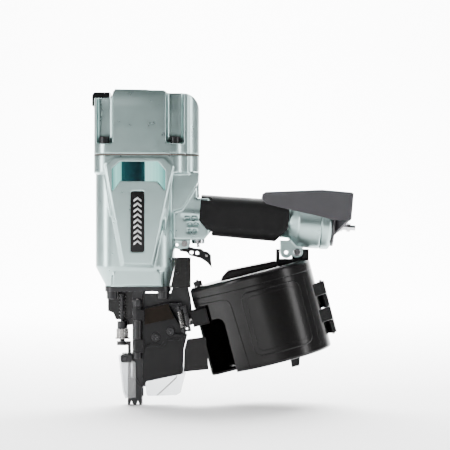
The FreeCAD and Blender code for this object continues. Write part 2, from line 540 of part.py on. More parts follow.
def rod_guard():
    """Black shield hanging behind the depth adjuster's rod."""
    plate = slab([(-36.8, FLANGE_Z0), (-36.8, 99), (-30.5, 96.5), (-27.5, 89), (-7.0, 87),
                  (-7.0, FLANGE_Z0)], *SHIELD_Y)
    shelf = box((-36.8, -25.2), (-16, SHIELD_Y[1]), (FLANGE_Z0 - 3, FLANGE_Z0))
    return fuse(plate, shelf).cut(upright(NOSE_BOLT_HEAD_R + 0.5, -NOSE_BOLT[0], -NOSE_BOLT[1], 110, 130))


def guide_bracket():
    """Keeper that holds the contact arm's bar to the nose."""
    block = box((-19, COLUMN_X[0]), (-8, 8), GUIDE_Z)
    edges = [e for e in block.Edges if e.BoundBox.ZLength > 5 and e.BoundBox.XMax < -18]
    block = block.makeFillet(3.0, edges)
    slot = box((TIP_BAR_X[0] - GAP, COLUMN_X[0] + 1), (-4.4, 4.4), (30, 60))
    holes = both_sides(crosswise(GUARD_SCREW_R + FIT, *GUARD_SCREW_XZ, -9, -5)).Solids
    return block.cut([slot] + holes)


def guard_clamps():
    """Outer plates that hold the clear guard against the keeper."""
    plate = box((-20.5, -7.4), (-GUARD_Y - GUARD_T - CLAMP_T, -GUARD_Y - GUARD_T), (40.5, 49))
    plate = plate.makeFillet(2.0, [e for e in plate.Edges if e.BoundBox.YLength > 1])
    return both_sides(plate.cut(crosswise(GUARD_SCREW_R + FIT, *GUARD_SCREW_XZ, -20, -5)))


def pan_screw(head_r, head_h, radius, length):
    """Cross-recess screw pointing +Y, its head's seat at the origin."""
    screw = fuse(rod(head_r, (0, -head_h, 0), (0, 0, 0)), rod(radius, (0, 0, 0), (0, length, 0)))
    rim = [e for e in screw.Edges if e.BoundBox.YMax < -head_h + 1e-6]
    screw = screw.makeFillet(0.45 * head_h, rim)
    arm = 0.55 * head_r
    cross = [box((-arm, arm), (-head_h - 1, -0.4 * head_h), (-0.4, 0.4)),
             box((-0.4, 0.4), (-head_h - 1, -0.4 * head_h), (-arm, arm))]
    return screw.cut(cross)


def bracket_screws():
    """The two screws of the chip guard and the lever guide's screw."""
    x, z = GUARD_SCREW_XZ
    near = pan_screw(*GUARD_SCREW_HEAD, GUARD_SCREW_R, 4.2 + CLAMP_T)
    near.translate(Vector(x, -GUARD_Y - GUARD_T - CLAMP_T, z))
    far = near.mirror(Vector(0, 0, 0), Vector(0, 1, 0))
    side = pan_screw(2.6, 1.6, GUIDE_SCREW_R, 1.2)
    side.translate(Vector(GUIDE_SCREW_XZ[0], -GUIDE_HALF_Y, GUIDE_SCREW_XZ[1]))
    return Part.makeCompound([near, far, side])


def chip_guard_front():
    """Clear shield wrapped round the front of the nose."""
    outer = slab([(-23, 48), (-7.6, 48), (-7.6, 43), (-3, 40), (-3, -1), (-15, -2), (-18, 6)],
                 -GUARD_Y - GUARD_T, GUARD_Y + GUARD_T)
    inner = slab([(-21.4, 49), (-2, 49), (-2, -3), (-13, -3), (-16.3, 6)], -GUARD_Y, GUARD_Y)
    pads = both_sides(box((-18.9, -13), (-GUARD_Y, -8), (41.5, 47.5)))
    shell = fuse(outer.cut(inner), *pads.Solids)
    holes = both_sides(crosswise(GUARD_SCREW_R + FIT, *GUARD_SCREW_XZ, -15, -7)).Solids
    return shell.cut(holes)


def chip_guard_rear():
    """Clear shield below the nail channel."""
    y0 = COLUMN_Y[1]
    plate = slab([(6, 26), (52, 35), (55, 26), (49, 3), (44, 0), (9, -1)], y0, y0 + GUARD_T)
    return plate.makeFillet(2.5, [e for e in plate.Edges
                                  if e.BoundBox.ZMax < 10 and abs(e.tangentAt(0).y) > 0.9])


def lever_guide():
    """Upright channel behind the barrel that guides the push lever to the trigger."""
    outer = slab([(42.3, 162), (61, 162), (61, 127), (38.4, 127), (38.4, 131), (42.3, 151)],
                 -GUIDE_HALF_Y, 14)
    inner = slab([(46.2, 163), (59.6, 163), (59.6, 126), (46.2, 126)], -7.5, 12.5)
    relief = box((55, 62), (-3, 9), (128, 150))
    return outer.cut([inner, relief, crosswise(GUIDE_SCREW_R + FIT, *GUIDE_SCREW_XZ, -10, -7.7)])


def trigger():
    outline = [(49.8, 180.2), (51.4, 182.2), (55.5, 182.2), (58.2, 179.5), (60, 174.6), (71, 171.6),
               (81.4, 168.5), (85, 164.9), (85.2, 158.2), (86.1, 149.7), (83, 152.8), (79.8, 156.6),
               (73.1, 161.0), (65.4, 163), (59.5, 164.5), (56.5, 168.3), (48.6, 169.3), (47.3, 172.6)]
    body = slab(outline, -TRIGGER_HALF_Y, TRIGGER_HALF_Y)
    tail = [e for e in body.Edges if e.BoundBox.YLength < 0.1 and e.BoundBox.ZMax < 169
            and e.BoundBox.XMin > 72]
    body = body.makeFillet(1.2, tail)
    wall = TRIGGER_HALF_Y - TRIGGER_WALL
    pocket = slab([(40, 184), (62, 184), (84, 184), (83.2, 164.0), (79.5, 160.6), (73.1, 163.6),
                   (65.4, 165.4), (40, 165.8)], -wall, wall)
    pivot = crosswise(TRIGGER_PIN_R + FIT, PIVOT[0], PIVOT[1], -20, 20)
    arm_hole = crosswise(ARM_PIN_R + FIT, ARM_PIVOT[0], ARM_PIVOT[1], -20, 20)
    lightening = [crosswise(2.2, 62, 168.2, -20, 20), crosswise(2.0, 68.6, 167.4, -20, 20)]
    return body.cut([pocket, pivot, arm_hole] + lightening)


def trigger_pin():
    pin = crosswise(TRIGGER_PIN_R, PIVOT[0], PIVOT[1], -LUG_OUTER_Y, LUG_OUTER_Y)
    head = crosswise(3.6, PIVOT[0], PIVOT[1], -LUG_OUTER_Y - 1.4, -LUG_OUTER_Y)
    return fuse(pin, head)


def arm_pin():
    return crosswise(ARM_PIN_R, ARM_PIVOT[0], ARM_PIVOT[1], -TRIGGER_HALF_Y, TRIGGER_HALF_Y)


def trigger_arm():
    """Rocking arm inside the trigger: pushed up by the lever, it reaches the valve stem."""
    arm = slab([(48.2, 171.2), (50, 172.4), (66.5, 172.9), (73, 172.4), (81.6, 165.9), (81.4, 163.4),
                (77.6, 163.2), (70, 169.6), (50, 169.2), (48.2, 169.8)], -3.4, 3.4)
    return arm.cut(crosswise(ARM_PIN_R + FIT, ARM_PIVOT[0], ARM_PIVOT[1], -20, 20))


def valve_bushing():
    body = upright(BUSH_R, STEM_X, 0, BUSH_BASE_Z, BUSH_TOP_Z)
    body = body.makeChamfer(0.8, [e for e in body.Edges if e.BoundBox.ZMax < BUSH_BASE_Z + 0.1])
    chamber = upright(BUSH_CHAMBER_R, STEM_X, 0, *BUSH_ROOM_Z)
    guide = upright(STEM_R + 0.08, STEM_X, 0, BUSH_BASE_Z - 1, BUSH_ROOM_Z[0] + 1)
    inlet = upright(1.5, STEM_X, 0, BUSH_ROOM_Z[1] - 1, BUSH_TOP_Z + 1)
    return body.cut([chamber, guide, inlet])


def valve_plunger():
    stem = upright(STEM_R, STEM_X, 0, STEM_TIP_Z, STEM_HEAD_Z[1])
    return fuse(stem, upright(STEM_HEAD_R, STEM_X, 0, *STEM_HEAD_Z))


def end_cap():
    """Round cover of the handle end, with the threaded air inlet."""
    disc = rod(END_R, (END_SEAM, 0, 0), (END_BACK, 0, 0))
    disc = disc.makeFillet(5.0, [e for e in disc.Edges if e.BoundBox.XMin > END_BACK - 0.1])
    inlet = rod(PLUG_THREAD_R + FIT, (END_SEAM - 1, 0, 0), (END_BACK + 1, 0, 0))
    room = rod(HANDLE_BORE_R, (END_SEAM - 1, 0, 0), (END_SEAM + 4, 0, 0))
    holes = [rod(END_BOLT_R + FIT, (END_SEAM - 1, y, z), (END_BACK + 1, y, z)) for y, z in END_BOLTS]
    sinks = [rod(END_BOLT_HEAD_R + GAP, (END_BACK - END_BOLT_SEAT, y, z), (END_BACK + 1, y, z))
             for y, z in END_BOLTS]
    return along_handle(disc.cut([inlet, room] + holes + sinks))


def end_cap_bolts():
    bolts = []
    for y, z in END_BOLTS:
        bolt = socket_bolt(END_BOLT_R, END_BOLT_HEAD_R, END_BOLT_HEAD_H,
                           END_BACK - END_BOLT_SEAT - END_SEAM + END_BOLT_DEPTH)
        bolt.rotate(Vector(0, 0, 0), Vector(0, 1, 0), 90)
        bolt.translate(Vector(END_BACK - END_BOLT_SEAT, y, z))
        bolts.append(bolt)
    return along_handle(Part.makeCompound(bolts))


def hexagon(across, x0, x1):
    """Hexagonal bar along +X."""
    radius = across / math.sqrt(3)
    corners = [Vector(x0, radius * math.cos(math.radians(60 * i)), radius * math.sin(math.radians(60 * i)))
               for i in range(7)]
    return Part.Face(Part.makePolygon(corners)).extrude(Vector(x1 - x0, 0, 0))


def air_plug():
    """Quick-change air plug with hexagon, locking neck and bored nose."""
    base = END_BACK + 3.6
    thread = rod(PLUG_THREAD_R, (END_SEAM + 4.5, 0, 0), (base, 0, 0))
    hexagonal = hexagon(14.0, base, base + 6)
    stages = [(5.9, 0, 9.5), (4.2, 9, 14.5), (5.6, 14.5, 18.5), (PLUG_R, 18, 24.6)]
    barrels = [rod(radius, (base + a, 0, 0), (base + b, 0, 0)) for radius, a, b in stages]
    plug = fuse(thread, hexagonal, *barrels)
    return along_handle(plug.cut(rod(PLUG_BORE_R, (END_SEAM, 0, 0), (base + 30, 0, 0))))


def rafter_hook():
    """Swivel disc round the inlet, slanted web and long side plate to hang the tool by."""
    x0, x1 = END_BACK + 0.4, END_BACK + 3.2
    disc = rod(24.0, (x0, 0, 0), (x1, 0, 0))
    web = slant_web(x0, x1)
    plate_y = -43.0
    outline = [(66.0, 29.0), (69.5, 31.8), (134.0, 40.0), (170.6, 40.0), (170.6, 8.0), (149.0, 6.5),
               (133.0, 9.3), (101.0, 13.5), (71.5, 18.3), (65.3, 24.0)]
    plate = slab(outline, plate_y, plate_y + 3.0)
    corners = [e for e in plate.Edges if e.BoundBox.YLength > 2 and e.BoundBox.XMin > 169]
    plate = plate.makeFillet(3.0, corners)
    rim_holes = [rod(2.2, (x0 - 1, 18.5 * math.cos(a), 18.5 * math.sin(a)),
                     (x1 + 1, 18.5 * math.cos(a), 18.5 * math.sin(a)))
                 for a in (math.radians(45 * i + 22.5) for i in range(8))]
    centre = rod(9.2, (x0 - 1, 0, 0), (x1 + 1, 0, 0))
    return along_handle(fuse(disc, web, plate).cut([centre] + rim_holes))


def slant_web(x0, x1):
    """Bent arm from the swivel disc out to the side plate."""
    sections = []
    for y, xa, xb, z0, z1 in ((-12.0, x0, x1, -12.0, 21.0), (-41.5, 167.6, 170.6, 9.0, 39.0)):
        corners = [Vector(xa, y, z0), Vector(xb, y, z0), Vector(xb, y, z1), Vector(xa, y, z1)]
        sections.append(Part.makePolygon(corners + corners[:1]))
    return Part.makeLoft(sections, True, True)


def push_lever():
    """Rod, collar and flat link that carry the contact arm's motion up to the trigger."""
    guide = upright(ROD_R, ROD_X, 0, COLLAR_BASE_Z, 118.4)
    collar = upright(COLLAR_R, ROD_X, 0, COLLAR_BASE_Z, COLLAR_TOP_Z)
    arm = box((ROD_X - 5, ROD_X + 5), (0, LEVER_Y[1]), (COLLAR_BASE_Z + 1, COLLAR_TOP_Z - 1))
    link = slab([(-24, 80), (44, 92), (54.2, 94), (54.2, 156), (47, 156), (47, 104), (-10, 90),
                 (-24, 86.4)], *LEVER_Y)
    tab = box((47, 53.5), (-4, LEVER_Y[1]), (152.5, 156))
    shape = fuse(guide, collar, arm, link, tab)
    return shape.cut(upright(TIP_STEM_R + 0.1, ROD_X, 0, 70, 85.5))


def lever_spring():
    return spring(LEVER_SPRING_R, LEVER_SPRING_WIRE, (ROD_X, 0, COLLAR_TOP_Z + 0.1),
                  FLANGE_Z0 - COLLAR_TOP_Z - 0.3, LEVER_SPRING_TURNS)


def depth_knob():
    """Knurled adjusting nut with its lower flange."""
    nut = upright(KNOB_R, ROD_X, 0, KNOB_BASE_Z + 1, KNOB_TOP_Z)
    flange = upright(KNOB_FLANGE_R, ROD_X, 0, KNOB_BASE_Z, KNOB_BASE_Z + 1.6)
    shape = fuse(nut, flange)
    grooves = []
    for i in range(20):
        a = math.radians(18 * i)
        x, y = ROD_X + KNOB_R * math.cos(a), KNOB_R * math.sin(a)
        grooves.append(upright(0.55, x, y, KNOB_BASE_Z + 2.6, KNOB_TOP_Z + 1))
    return shape.cut(grooves + [upright(KNOB_BORE_R, ROD_X, 0, 60, 90)])


def contact_tip():
    """Safety contact: toothed shoe round the mouth, bar up the front and threaded stem."""
    shoe = box((TIP_BAR_X[0], TIP_REAR_X), (-TIP_WALL_Y[1], TIP_FAR_Y[1]), (TOOTH_Z, TIP_TOP_Z))
    well = box((COLUMN_X[0] - 0.4, 6), (-TIP_WALL_Y[0], TIP_FAR_Y[0]), (TOOTH_Z - 1, TIP_TOP_Z + 1))
    bar = box(TIP_BAR_X, (-4, 4), (TIP_TOP_Z - 2, TIP_BAR_TOP_Z))
    foot = box((ROD_X - 4, TIP_BAR_X[1]), (-4, 4), (TIP_BOSS_Z, TIP_BAR_TOP_Z))
    boss = upright(TIP_BOSS_R, ROD_X, 0, TIP_BOSS_Z, TIP_BAR_TOP_Z)
    stem = upright(TIP_STEM_R, ROD_X, 0, TIP_BOSS_Z + 0.5, 82.0)
    shape = fuse(shoe, bar, foot, boss, stem).cut(well)
    notches = []
    for x in NOTCH_X:
        notches.append(slab([(x - NOTCH_HALF_X, TOOTH_Z - 0.1), (x + NOTCH_HALF_X, TOOTH_Z - 0.1),
                             (x, TOOTH_Z + NOTCH_H)], -12, 12))
    sides = slab([(-4, 23), (5, 23), (5, 8)], -12, 12)
    return shape.cut(notches + [sides])


def nail_door():
    """Swinging near wall of the nail channel, with knuckles, pin lugs and an insert pocket."""
    plate = slab(DOOR_OUTLINE, DOOR_FACE_Y, DOOR_BACK_Y)
    edges = [e for e in plate.Edges if e.BoundBox.YMax < DOOR_FACE_Y + 0.01 and e.BoundBox.ZLength > 3
             and e.BoundBox.XMin > 30]
    plate = plate.makeChamfer(1.5, edges)
    hinge_x, hinge_y = HINGE_XY
    z_low, z_a, z_b, z_high = HINGE_STEPS
    parts = [plate]
    for z0, z1 in ((z_low + GAP, z_a), (z_b, z_high - GAP)):
        parts.append(upright(HINGE_R, hinge_x, hinge_y, z0, z1))
        parts.append(box((hinge_x, 6.5), (hinge_y - HINGE_R, hinge_y + 3.8), (z0, min(z1, 101.5))))
    rib = slab([(9, 60), (16, 62), (27, 61), (33, 68), (48, 68), (48, 65.4), (35, 65.4), (28.6, 57.6),
                (16.6, 58.6), (9, 56.8)], DOOR_FACE_Y - 1.2, DOOR_FACE_Y + 0.5)
    parts.append(rib)
    for x, z in (LATCH_FOOT, LATCH_HEAD):
        step = 3.0 if z > 90 else -3.0
        parts.append(box((x - 11, x + 3.2), (LATCH_Y - 3.4, DOOR_BACK_Y - 0.5),
                         (z - 1.4 + step, z + 1.4 + step)))
    shape = fuse(*parts)
    shape = shape.cut([slab(INSERT_OUTLINE, DOOR_FACE_Y - 3, DOOR_FACE_Y + 3), guard_wire(),
                       upright(HINGE_PIN_R + 0.08, hinge_x, hinge_y, 40, 120)])
    holes = [crosswise(1.8 + FIT, x, z, DOOR_FACE_Y - 3, DOOR_BACK_Y - 1.5) for x, z in DOOR_SCREWS]
    return shape.cut(holes + [latch_axis(LATCH_PIN_R + FIT, -8, 8)])


def latch_axis(radius, below, above):
    """Bar on the latch's leaning axis, from below the foot lug to above the head lug."""
    foot = Vector(LATCH_FOOT[0], LATCH_Y, LATCH_FOOT[1])
    head = Vector(LATCH_HEAD[0], LATCH_Y, LATCH_HEAD[1])
    lean = (head - foot).normalize()
    start, end = foot + lean * below, head + lean * above
    return rod(radius, tuple(start), tuple(end))


def door_insert():
    """Wear insert set into the upper half of the door."""
    return slab(INSERT_OUTLINE, DOOR_FACE_Y - 0.4, DOOR_FACE_Y + 3)


def door_screws():
    screws = []
    for x, z in DOOR_SCREWS:
        screw = pan_screw(4.8, 2.0, 1.8, 6.5)
        screw.translate(Vector(x, DOOR_FACE_Y, z))
        screws.append(screw)
    return Part.makeCompound(screws)


def door_hinge_pin():
    z_low, z_high = HINGE_STEPS[0], HINGE_STEPS[-1]
    return upright(HINGE_PIN_R, HINGE_XY[0], HINGE_XY[1], z_low - 4, z_high + 8.5)


def guard_wire():
    """Bent wire below the door that keeps the strip from catching."""
    y = DOOR_FACE_Y + 3.0
    return fuse(rod(0.7, (44.5, y, 36), (44.5, y, 22)), rod(0.7, (44.5, y, 22), (22, y, 1)),
                Part.makeSphere(0.7, Vector(44.5, y, 22)))


def latch_pin():
    return latch_axis(LATCH_PIN_R, -5.2, 5.2)


def latch_coil():
    """Return spring wound round the latch pin."""
    coil = spring(LATCH_COIL_R, LATCH_COIL_WIRE, (0, 0, 0), LATCH_COIL_LENGTH, LATCH_COIL_TURNS)
    lean = math.degrees(math.atan2(LATCH_FOOT[0] - LATCH_HEAD[0], LATCH_HEAD[1] - LATCH_FOOT[1]))
    coil.rotate(Vector(0, 0, 0), Vector(0, 1, 0), -lean)
    foot = Vector(LATCH_FOOT[0], LATCH_Y, LATCH_FOOT[1])
    axis = (Vector(LATCH_HEAD[0], LATCH_Y, LATCH_HEAD[1]) - foot).normalize()
    coil.translate(foot + axis * 5.0)
    return coil


def door_latch():
    """Thumb latch: two knuckles on the pin, joined by a plate beside the spring."""
    foot = Vector(LATCH_FOOT[0], LATCH_Y, LATCH_FOOT[1])
    axis = (Vector(LATCH_HEAD[0], LATCH_Y, LATCH_HEAD[1]) - foot).normalize()
    low, high = [rod(LATCH_KNUCKLE_R, tuple(foot + axis * a), tuple(foot + axis * b))
                 for a, b in LATCH_KNUCKLES]
    spine = slab([(58.8, 76.3), (62.2, 77.1), (55.4, 106.4), (52.0, 105.6)], LATCH_Y - 2.6, LATCH_Y + 1.2)
    links = [slab([(53, 75.6), (60, 77.2), (59.5, 79.4), (52.6, 77.8)], LATCH_Y - 2.6, LATCH_Y + 1.2),
             slab([(47.2, 101.9), (54, 103.4), (53.4, 105.8), (46.6, 104.3)], LATCH_Y - 2.6, LATCH_Y + 1.2)]
    thumb = slab([(56.5, 86), (60.5, 87), (58.0, 97), (54.2, 96)], LATCH_Y - 7, LATCH_Y - 1)
    shape = fuse(low, high, spine, *links, thumb)
    return shape.cut([latch_axis(LATCH_PIN_R + 0.08, -8, 8)])


def drum_face(shrink, z):
    """Magazine outline: round drum drawn out to a flat nose at the front."""
    radius = DRUM_R - shrink
    nose_x, nose_y = DRUM_NOSE_X + shrink, DRUM_NOSE_Y - 0.3 * shrink
    reach = math.hypot(nose_x, nose_y)
    spread = math.acos(radius / reach)
    angle = math.atan2(nose_y, -nose_x)
    touch = math.pi - angle - spread
    near = Vector(radius * math.cos(touch), -radius * math.sin(touch), z)
    far = Vector(near.x, -near.y, z)
    tip_near, tip_far = Vector(nose_x, -nose_y, z), Vector(nose_x, nose_y, z)
    arc = Part.Arc(near, Vector(radius, 0, z), far).toShape()
    wire = Part.Wire([arc, Part.makeLine(far, tip_far), Part.makeLine(tip_far, tip_near),
                      Part.makeLine(tip_near, near)])
    return Part.Face(wire)


def drum_block(shrink, z0, z1):
    return drum_face(shrink, z0).extrude(Vector(0, 0, z1 - z0))


def soft_rim(block, z, radius):
    """The block with its outer edge at height z rounded."""
    rim = [e for e in block.Edges if abs(e.BoundBox.ZMin - z) < 0.01 and abs(e.BoundBox.ZMax - z) < 0.01]
    return block.makeFillet(radius, rim)


def side_of(y0, y1):
    """Half-space box used to split the magazine along its middle plane."""
    return box((-120, 120), (y0, y1), (-80, 80))


def cover_knuckles(which):
    """Every second hinge barrel, with the web that ties it to its wall."""
    shapes = []
    steps = COVER_HINGE_STEPS
    for i in range(len(steps) - 1):
        if i % 2 != which:
            continue
        z0, z1 = steps[i] + 0.2, steps[i + 1] - 0.2
        shapes.append(upright(COVER_HINGE_R, COVER_HINGE_X, 0, z0, z1))
        sign = 1 if which == 0 else -1
        web = [Vector(DRUM_R - 8.3, sign * 22, z0), Vector(DRUM_R - 6.5, sign * 27, z0),
               Vector(COVER_HINGE_X + 2.5, sign * 3.0, z0), Vector(COVER_HINGE_X - 3.6, sign * 1.6, z0),
               Vector(DRUM_R - 1.0, sign * 6, z0)]
        face = Part.Face(Part.makePolygon(web + web[:1]))
        shapes.append(face.extrude(Vector(0, 0, z1 - z0)))
    return shapes


def magazine_holder():
    """Fixed half of the magazine: top, far wall, floor half, throat wall and mounting tongue."""
    top = soft_rim(drum_block(0, SEAM_Z, DRUM_HALF_H), DRUM_HALF_H, TOP_RIM_R)
    top = top.cut(drum_block(DRUM_WALL, SEAM_Z - 1, DRUM_HALF_H - DRUM_WALL))
    wall = soft_rim(drum_block(0, -DRUM_HALF_H, SEAM_Z + 0.5), -DRUM_HALF_H, BASE_RIM_R)
    wall = wall.cut(drum_block(DRUM_WALL, -DRUM_HALF_H + DRUM_WALL, SEAM_Z + 1))
    wall = wall.common(side_of(SPLIT_Y, 90))
    throat_gap = box((DRUM_NOSE_X - 2, DRUM_NOSE_X + 6), (-4.6, 4.2), (-60, 38))
    top_z = DRUM_HALF_H
    plateau = slab([(-42, top_z - 1), (-39, top_z + 4), (-30, top_z + 10), (26, top_z + 7),
                    (27, top_z - 1)], -20, 20)
    long_edges = [e for e in plateau.Edges if e.BoundBox.YLength < 0.1 and e.BoundBox.ZMin > top_z + 3]
    plateau = plateau.makeFillet(3.0, long_edges)
    foot = slab([(15, 1 - top_z), (28, 1 - top_z), (23, -top_z - 13.5), (14, -top_z - 13.5)], 1, 14)
    shape = fuse(top, wall, plateau, foot, *cover_knuckles(0))
    shape = shape.cut([throat_gap, upright(COVER_PIN_R + FIT, COVER_HINGE_X, 0, -60, 60),
                       upright(3.4, 0, 0, DRUM_HALF_H + 2, DRUM_HALF_H + 12),
                       upright(1.5 + FIT, LATCH_TAB_X, -8, DRUM_HALF_H - 1.5, DRUM_HALF_H + 5)])
    shape = leaning(shape)
    throat = slab([(56.6, 66.0), (53.4, 54.1), (52.6, 27.6), (82, 30.5), (79, 69.0)], CHANNEL_Y,
                  COLUMN_Y[1])
    tongue = slab([(179.5, 173.0), (EAR_X1 - 0.5, 173.0), (EAR_X1 + 6.5, 166), (EAR_X1 + 6.5, 152),
                   (172, 150), (174, 159.5), (179.5, 160.5)], -EAR_SLOT_HALF_Y + 0.1, EAR_SLOT_HALF_Y - 0.1)
    post = box((EAR_X1 + 0.4, EAR_X1 + 7), (-9, 9), (158, 172))
    step = box((160.8, EAR_X0 - 0.4), (-9, 9), (155, 172))
    pad = slab([(160.8, 160.6), (EAR_X1 + 7, 160.6), (EAR_X1 + 7, 158), (176, 153), (160.8, 150)], -9, 9)
    shape = fuse(shape, throat, tongue, post, step, pad)
    return shape.cut(crosswise(EAR_BOLT_R + FIT, EAR_BOLT[0], EAR_BOLT[1], -20, 20))


def bracket_bolt():
    """Bolt that ties the magazine's tongue into the handle ears."""
    shank = crosswise(EAR_BOLT_R, EAR_BOLT[0], EAR_BOLT[1], -EAR_HALF_Y, EAR_HALF_Y + 4)
    head = crosswise(EAR_BOLT_HEAD_R, *EAR_BOLT, -EAR_HALF_Y - EAR_BOLT_HEAD_H, -EAR_HALF_Y)
    face_y = -EAR_HALF_Y - EAR_BOLT_HEAD_H + 0.1
    head = head.makeFillet(0.8, [e for e in head.Edges if e.BoundBox.YMax < face_y])
    nut = crosswise(EAR_NUT_R, *EAR_BOLT, EAR_HALF_Y, EAR_HALF_Y + EAR_NUT_H)
    return fuse(shank, head, nut)


def coil_post():
    post = upright(POST_R, 0, 0, -48, DRUM_HALF_H - DRUM_WALL)
    notches = [upright(POST_R + 1, 0, 0, z, z + 2).cut(upright(POST_R - 1, 0, 0, z - 1, z + 3))
               for z in (-20, 0, 20)]
    return leaning(post.cut(notches + [upright(4.0, 0, 0, -50, 45)]))


def nail_tray():
    """Height-adjustable tray that carries the nail coil."""
    disc = upright(TRAY_R, 0, 0, TRAY_Z - TRAY_T, TRAY_Z)
    hub = upright(13.0, 0, 0, TRAY_Z - TRAY_T, TRAY_Z + 8)
    bore = upright(POST_R + 0.1, 0, 0, -60, 0)
    slots = []
    for i in range(6):
        a = math.radians(60 * i)
        slots.append(upright(9.0, 36 * math.cos(a), 36 * math.sin(a), -60, TRAY_Z + 1))
    return leaning(fuse(disc, hub).cut([bore] + slots))


def magazine_cover():
    """Swinging near half of the drum, with the arched nail window and a raised panel."""
    wall = soft_rim(drum_block(0, -DRUM_HALF_H, SEAM_Z - GAP), -DRUM_HALF_H, BASE_RIM_R)
    wall = wall.cut(drum_block(DRUM_WALL, -DRUM_HALF_H + DRUM_WALL, SEAM_Z + 1))
    panel = upright(DRUM_R + PANEL_RISE, 0, 0, *DRUM_PANEL_Z).cut(upright(DRUM_R - 1, 0, 0, -50, SEAM_Z))
    frame = box(DRUM_PANEL_X, (-90, 0), DRUM_PANEL_Z)
    panel = panel.common(frame.makeFillet(DRUM_PANEL_R, [e for e in frame.Edges if e.BoundBox.YLength > 80]))
    wall = fuse(wall, *panel.Solids).common(side_of(-90, -SPLIT_Y))
    arch = box((-100, ARCH_X), (-90, 5), (-60, ARCH_TOP_Z))
    arch = arch.makeFillet(8.0, [e for e in arch.Edges if e.BoundBox.YLength > 50
                                 and e.BoundBox.XMin > ARCH_X - 1 and e.BoundBox.ZMin > 0])
    step = box((-100, -62.5), (-90, 5), (-60, 30))
    front_gap = box((DRUM_NOSE_X - 2, DRUM_NOSE_X + 6), (-4.6, 5), (-60, SEAM_Z - 5))
    shape = fuse(wall, *cover_knuckles(1))
    return leaning(shape.cut([arch, step, front_gap,
                              upright(COVER_PIN_R + 0.08, COVER_HINGE_X, 0, -60, 60)]))


def cover_hinge_pin():
    low, high = COVER_HINGE_STEPS[0], COVER_HINGE_STEPS[-1]
    return leaning(upright(COVER_PIN_R, COVER_HINGE_X, 0, low - 1.5, high + 1.5))


def cover_latch():
    """Turning tab on the magazine's top that holds the cover shut."""
    tab = box((LATCH_TAB_X - 5, LATCH_TAB_X + 5), (-13, -4), (DRUM_HALF_H + GAP, DRUM_HALF_H + 6.5))
    tab = tab.makeFillet(2.5, [e for e in tab.Edges if e.BoundBox.ZLength > 3])
    grip_bar = box((LATCH_TAB_X - 1.5, LATCH_TAB_X + 1.5), (-12, -5), (DRUM_HALF_H + 6, DRUM_HALF_H + 8))
    stem = upright(1.5 - 0.03, LATCH_TAB_X, -8, DRUM_HALF_H - 1.3, DRUM_HALF_H + 1)
    return leaning(fuse(tab, grip_bar, stem))


def feed_rod(radius, x0, x1):
    """Round bar on the feeder's axis, in the magazine's frame."""
    return rod(radius, (x0, FEED_AXIS_Y, FEED_AXIS_Z), (x1, FEED_AXIS_Y, FEED_AXIS_Z))


def feed_cylinder():
    """Block with the small air cylinder that advances the nails."""
    block = box(FEED_X, FEED_Y, FEED_Z)
    block = block.makeFillet(2.0, [e for e in block.Edges if e.BoundBox.ZLength < 0.1
                                   and e.BoundBox.YMax < FEED_Y[0] + 0.1 and e.BoundBox.XLength > 5])
    bore = feed_rod(FEED_BORE_R, FEED_X[0] + 3, FEED_X[1] - 1.5)
    neck = feed_rod(FEED_ROD_R + 0.06, FEED_X[0] - 1, FEED_X[0] + 4)
    arm = box((FEED_X[0] + 9.5, FEED_X[1] - 3), (-10, -4.9), (FEED_Z[1] - 1, DRUM_HALF_H - DRUM_WALL))
    return leaning(fuse(block, arm).cut([bore, neck]))


def feed_piston():
    x0, x1 = FEED_X
    head = feed_rod(FEED_PISTON_R, x1 - 5.6, x1 - 1.7)
    stem = feed_rod(FEED_ROD_R, x0 - 4, x1 - 5)
    return leaning(fuse(head, stem))


def feed_coil():
    """Return spring of the feed piston, drawn at its working length."""
    coil = spring(FEED_COIL_R, FEED_COIL_WIRE, (0, 0, 0), FEED_COIL_LENGTH, FEED_COIL_TURNS)
    coil.rotate(Vector(0, 0, 0), Vector(0, 1, 0), 90)
    coil.translate(Vector(FEED_X[0] + 3.05, FEED_AXIS_Y, FEED_AXIS_Z))
    return leaning(coil)


def feed_pawl():
    """Toothed finger on the piston rod that pushes the next nail."""
    x1 = FEED_X[0] - 4
    body = box((x1 - 3.5, x1), (-12.5, -5.2), (FEED_AXIS_Z - 5, FEED_AXIS_Z + 5))
    finger = slab([(x1 - 3.5, FEED_AXIS_Z - 4), (x1, FEED_AXIS_Z - 4), (x1, FEED_AXIS_Z + 4),
                   (x1 - 3.5, FEED_AXIS_Z + 4)], -6, -4.4)
    return leaning(fuse(body, finger))


def main():
    os.makedirs("parts", exist_ok=True)
    makers = [housing, grip, cap, cap_gasket, cap_bolts, exhaust_cover, side_windows, side_labels,
              cylinder, cylinder_seals, bumper, piston, piston_ring, driver_blade, head_valve, nose,
              nose_bolts, rod_guard, guide_bracket, guard_clamps, bracket_screws, chip_guard_front,
              chip_guard_rear, lever_guide, trigger, trigger_pin, arm_pin, trigger_arm,
              valve_bushing, valve_plunger, end_cap, end_cap_bolts, air_plug, rafter_hook,
              push_lever, lever_spring, depth_knob, contact_tip, nail_door, door_insert,
              door_screws, door_hinge_pin, guard_wire, latch_pin, latch_coil, door_latch,
              magazine_holder, bracket_bolt, coil_post, nail_tray, magazine_cover, cover_hinge_pin,
              cover_latch, feed_cylinder, feed_piston, feed_coil, feed_pawl]
    for maker in makers:
        export(maker(), maker.__name__)
    export(spring(24.0, 1.1, (0, 0, VALVE_TOP_Z + 0.1), HEAD_ROOM_TOP_Z - VALVE_TOP_Z - 0.2, 4),
           "head_valve_spring")
    export(spring(3.2, 0.45, (STEM_X, 0, STEM_HEAD_Z[1] + 0.1),
                  BUSH_ROOM_Z[1] - STEM_HEAD_Z[1] - 0.2, 6),
           "plunger_spring")


main()
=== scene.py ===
import json
import math

